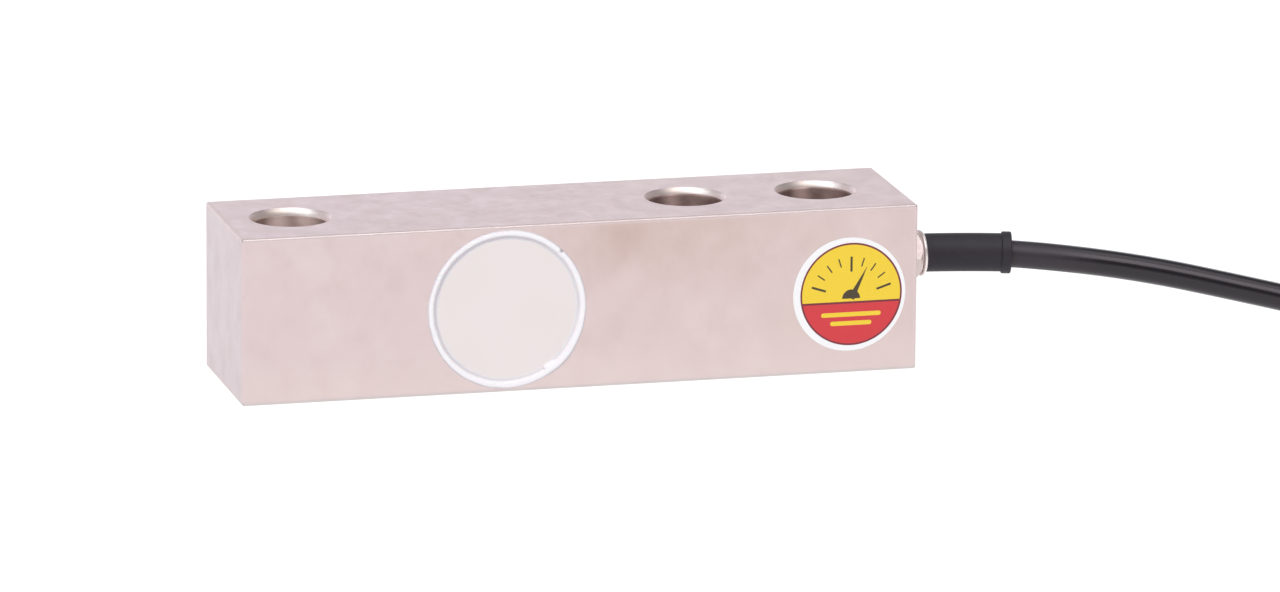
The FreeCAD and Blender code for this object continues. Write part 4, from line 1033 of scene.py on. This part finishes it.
# ---------------------------------------------------------------- floor, world and light
floor_data = bpy.data.meshes.new("floor")
floor_data.from_pydata([(-14, -14, 0), (14, -14, 0), (14, 14, 0), (-14, 14, 0)], [], [(0, 1, 2, 3)])
floor = link(bpy.data.objects.new("floor", floor_data))
floor.location.z = -0.00002
paper = Finish("floor_paper", Roughness=0.9, IOR=1.2)
paper.colour(paper.mix(paper.linear(paper.noise(0.002, 2.0, 0.5), 0.3, 0.7, 0.0, 1.0), (0.105, 0.105, 0.105), (0.095, 0.095, 0.095)))
paper.shader.inputs["Emission Color"].default_value = (1.0, 1.0, 1.0, 1.0)
paper.shader.inputs["Emission Strength"].default_value = 0.995
floor_data.materials.append(paper.material)

# a studio round the object: a pale sweep low behind it, darker to the sides and half way up behind
world = bpy.data.worlds.new("studio")
scene.world = world
world.use_nodes = True
tree = world.node_tree
background = tree.nodes["Background"]
direction = tree.nodes.new("ShaderNodeTexCoord")
split = tree.nodes.new("ShaderNodeSeparateXYZ")
tree.links.new(direction.outputs["Generated"], split.inputs[0])


def world_math(operation, *values):
    n = tree.nodes.new("ShaderNodeMath")
    n.operation = operation
    for socket, value in zip(n.inputs, values):
        if hasattr(value, "is_linked"):
            tree.links.new(value, socket)
        else:
            socket.default_value = value
    return n.outputs[0]


def world_step(value, low, high):
    n = tree.nodes.new("ShaderNodeMapRange")
    n.interpolation_type = "SMOOTHSTEP"
    tree.links.new(value, n.inputs["Value"])
    n.inputs["From Min"].default_value, n.inputs["From Max"].default_value = low, high
    return n.outputs[0]


def world_mix(share, a, b):
    n = tree.nodes.new("ShaderNodeMix")
    n.data_type = "RGBA"
    tree.links.new(share, n.inputs[0])
    for socket, value in ((n.inputs[6], a), (n.inputs[7], b)):
        if hasattr(value, "is_linked"):
            tree.links.new(value, socket)
        else:
            socket.default_value = (*value, 1.0)
    return n.outputs[2]


to_x, to_y, to_z = split.outputs["X"], split.outputs["Y"], split.outputs["Z"]
sweep = world_mix(world_step(to_z, 0.28, 0.62), (1.15, 1.15, 1.21), (0.36, 0.36, 0.38))
ahead = world_mix(world_step(to_z, 0.12, 0.24), (0.75, 0.75, 0.77), (0.29, 0.29, 0.30))
ahead = world_mix(world_step(to_z, 0.42, 0.56), ahead, (0.63, 0.63, 0.65))
room = world_mix(world_step(to_y, -0.25, 0.35), ahead, sweep)
at_side = world_step(world_math("MAXIMUM", world_math("SUBTRACT", to_x, 0.2), world_math("MULTIPLY", to_x, -1.0)), 0.34, 0.60)
room = world_mix(world_math("MULTIPLY", at_side, 0.75), room, (0.42, 0.415, 0.42))
tree.links.new(room, background.inputs["Color"])
background.inputs["Strength"].default_value = 1.0


def softbox(name, location, target, size, radiance, colour=(1, 1, 1)):
    data = bpy.data.lights.new(name, "AREA")
    data.shape = "RECTANGLE"
    data.size, data.size_y = size
    data.energy = radiance * math.pi * size[0] * size[1]
    data.color = colour
    lamp = link(bpy.data.objects.new(name, data))
    lamp.location = location
    way = Vector(target) - Vector(location)
    lamp.rotation_mode = "QUATERNION"
    lamp.rotation_quaternion = way.to_track_quat("-Z", "Y")
    lamp.visible_camera = False
    return lamp


softbox("key", (-0.62, -0.92, 1.42), (-0.48, 0.0, 0.02), (3.3, 0.85), 2.2, (1.0, 0.985, 0.97))
softbox("fill", (-1.3, -0.2, 0.9), (0.0, 0.0, 0.02), (0.7, 0.7), 0.6, (0.97, 0.985, 1.0))

softbox("overhead", (-0.05, -0.16, 1.55), (-0.05, -0.16, 0.0), (1.7, 1.25), 1.0, (1.0, 0.99, 0.98))

scene.view_settings.view_transform = "Standard"
scene.view_settings.look = "None"
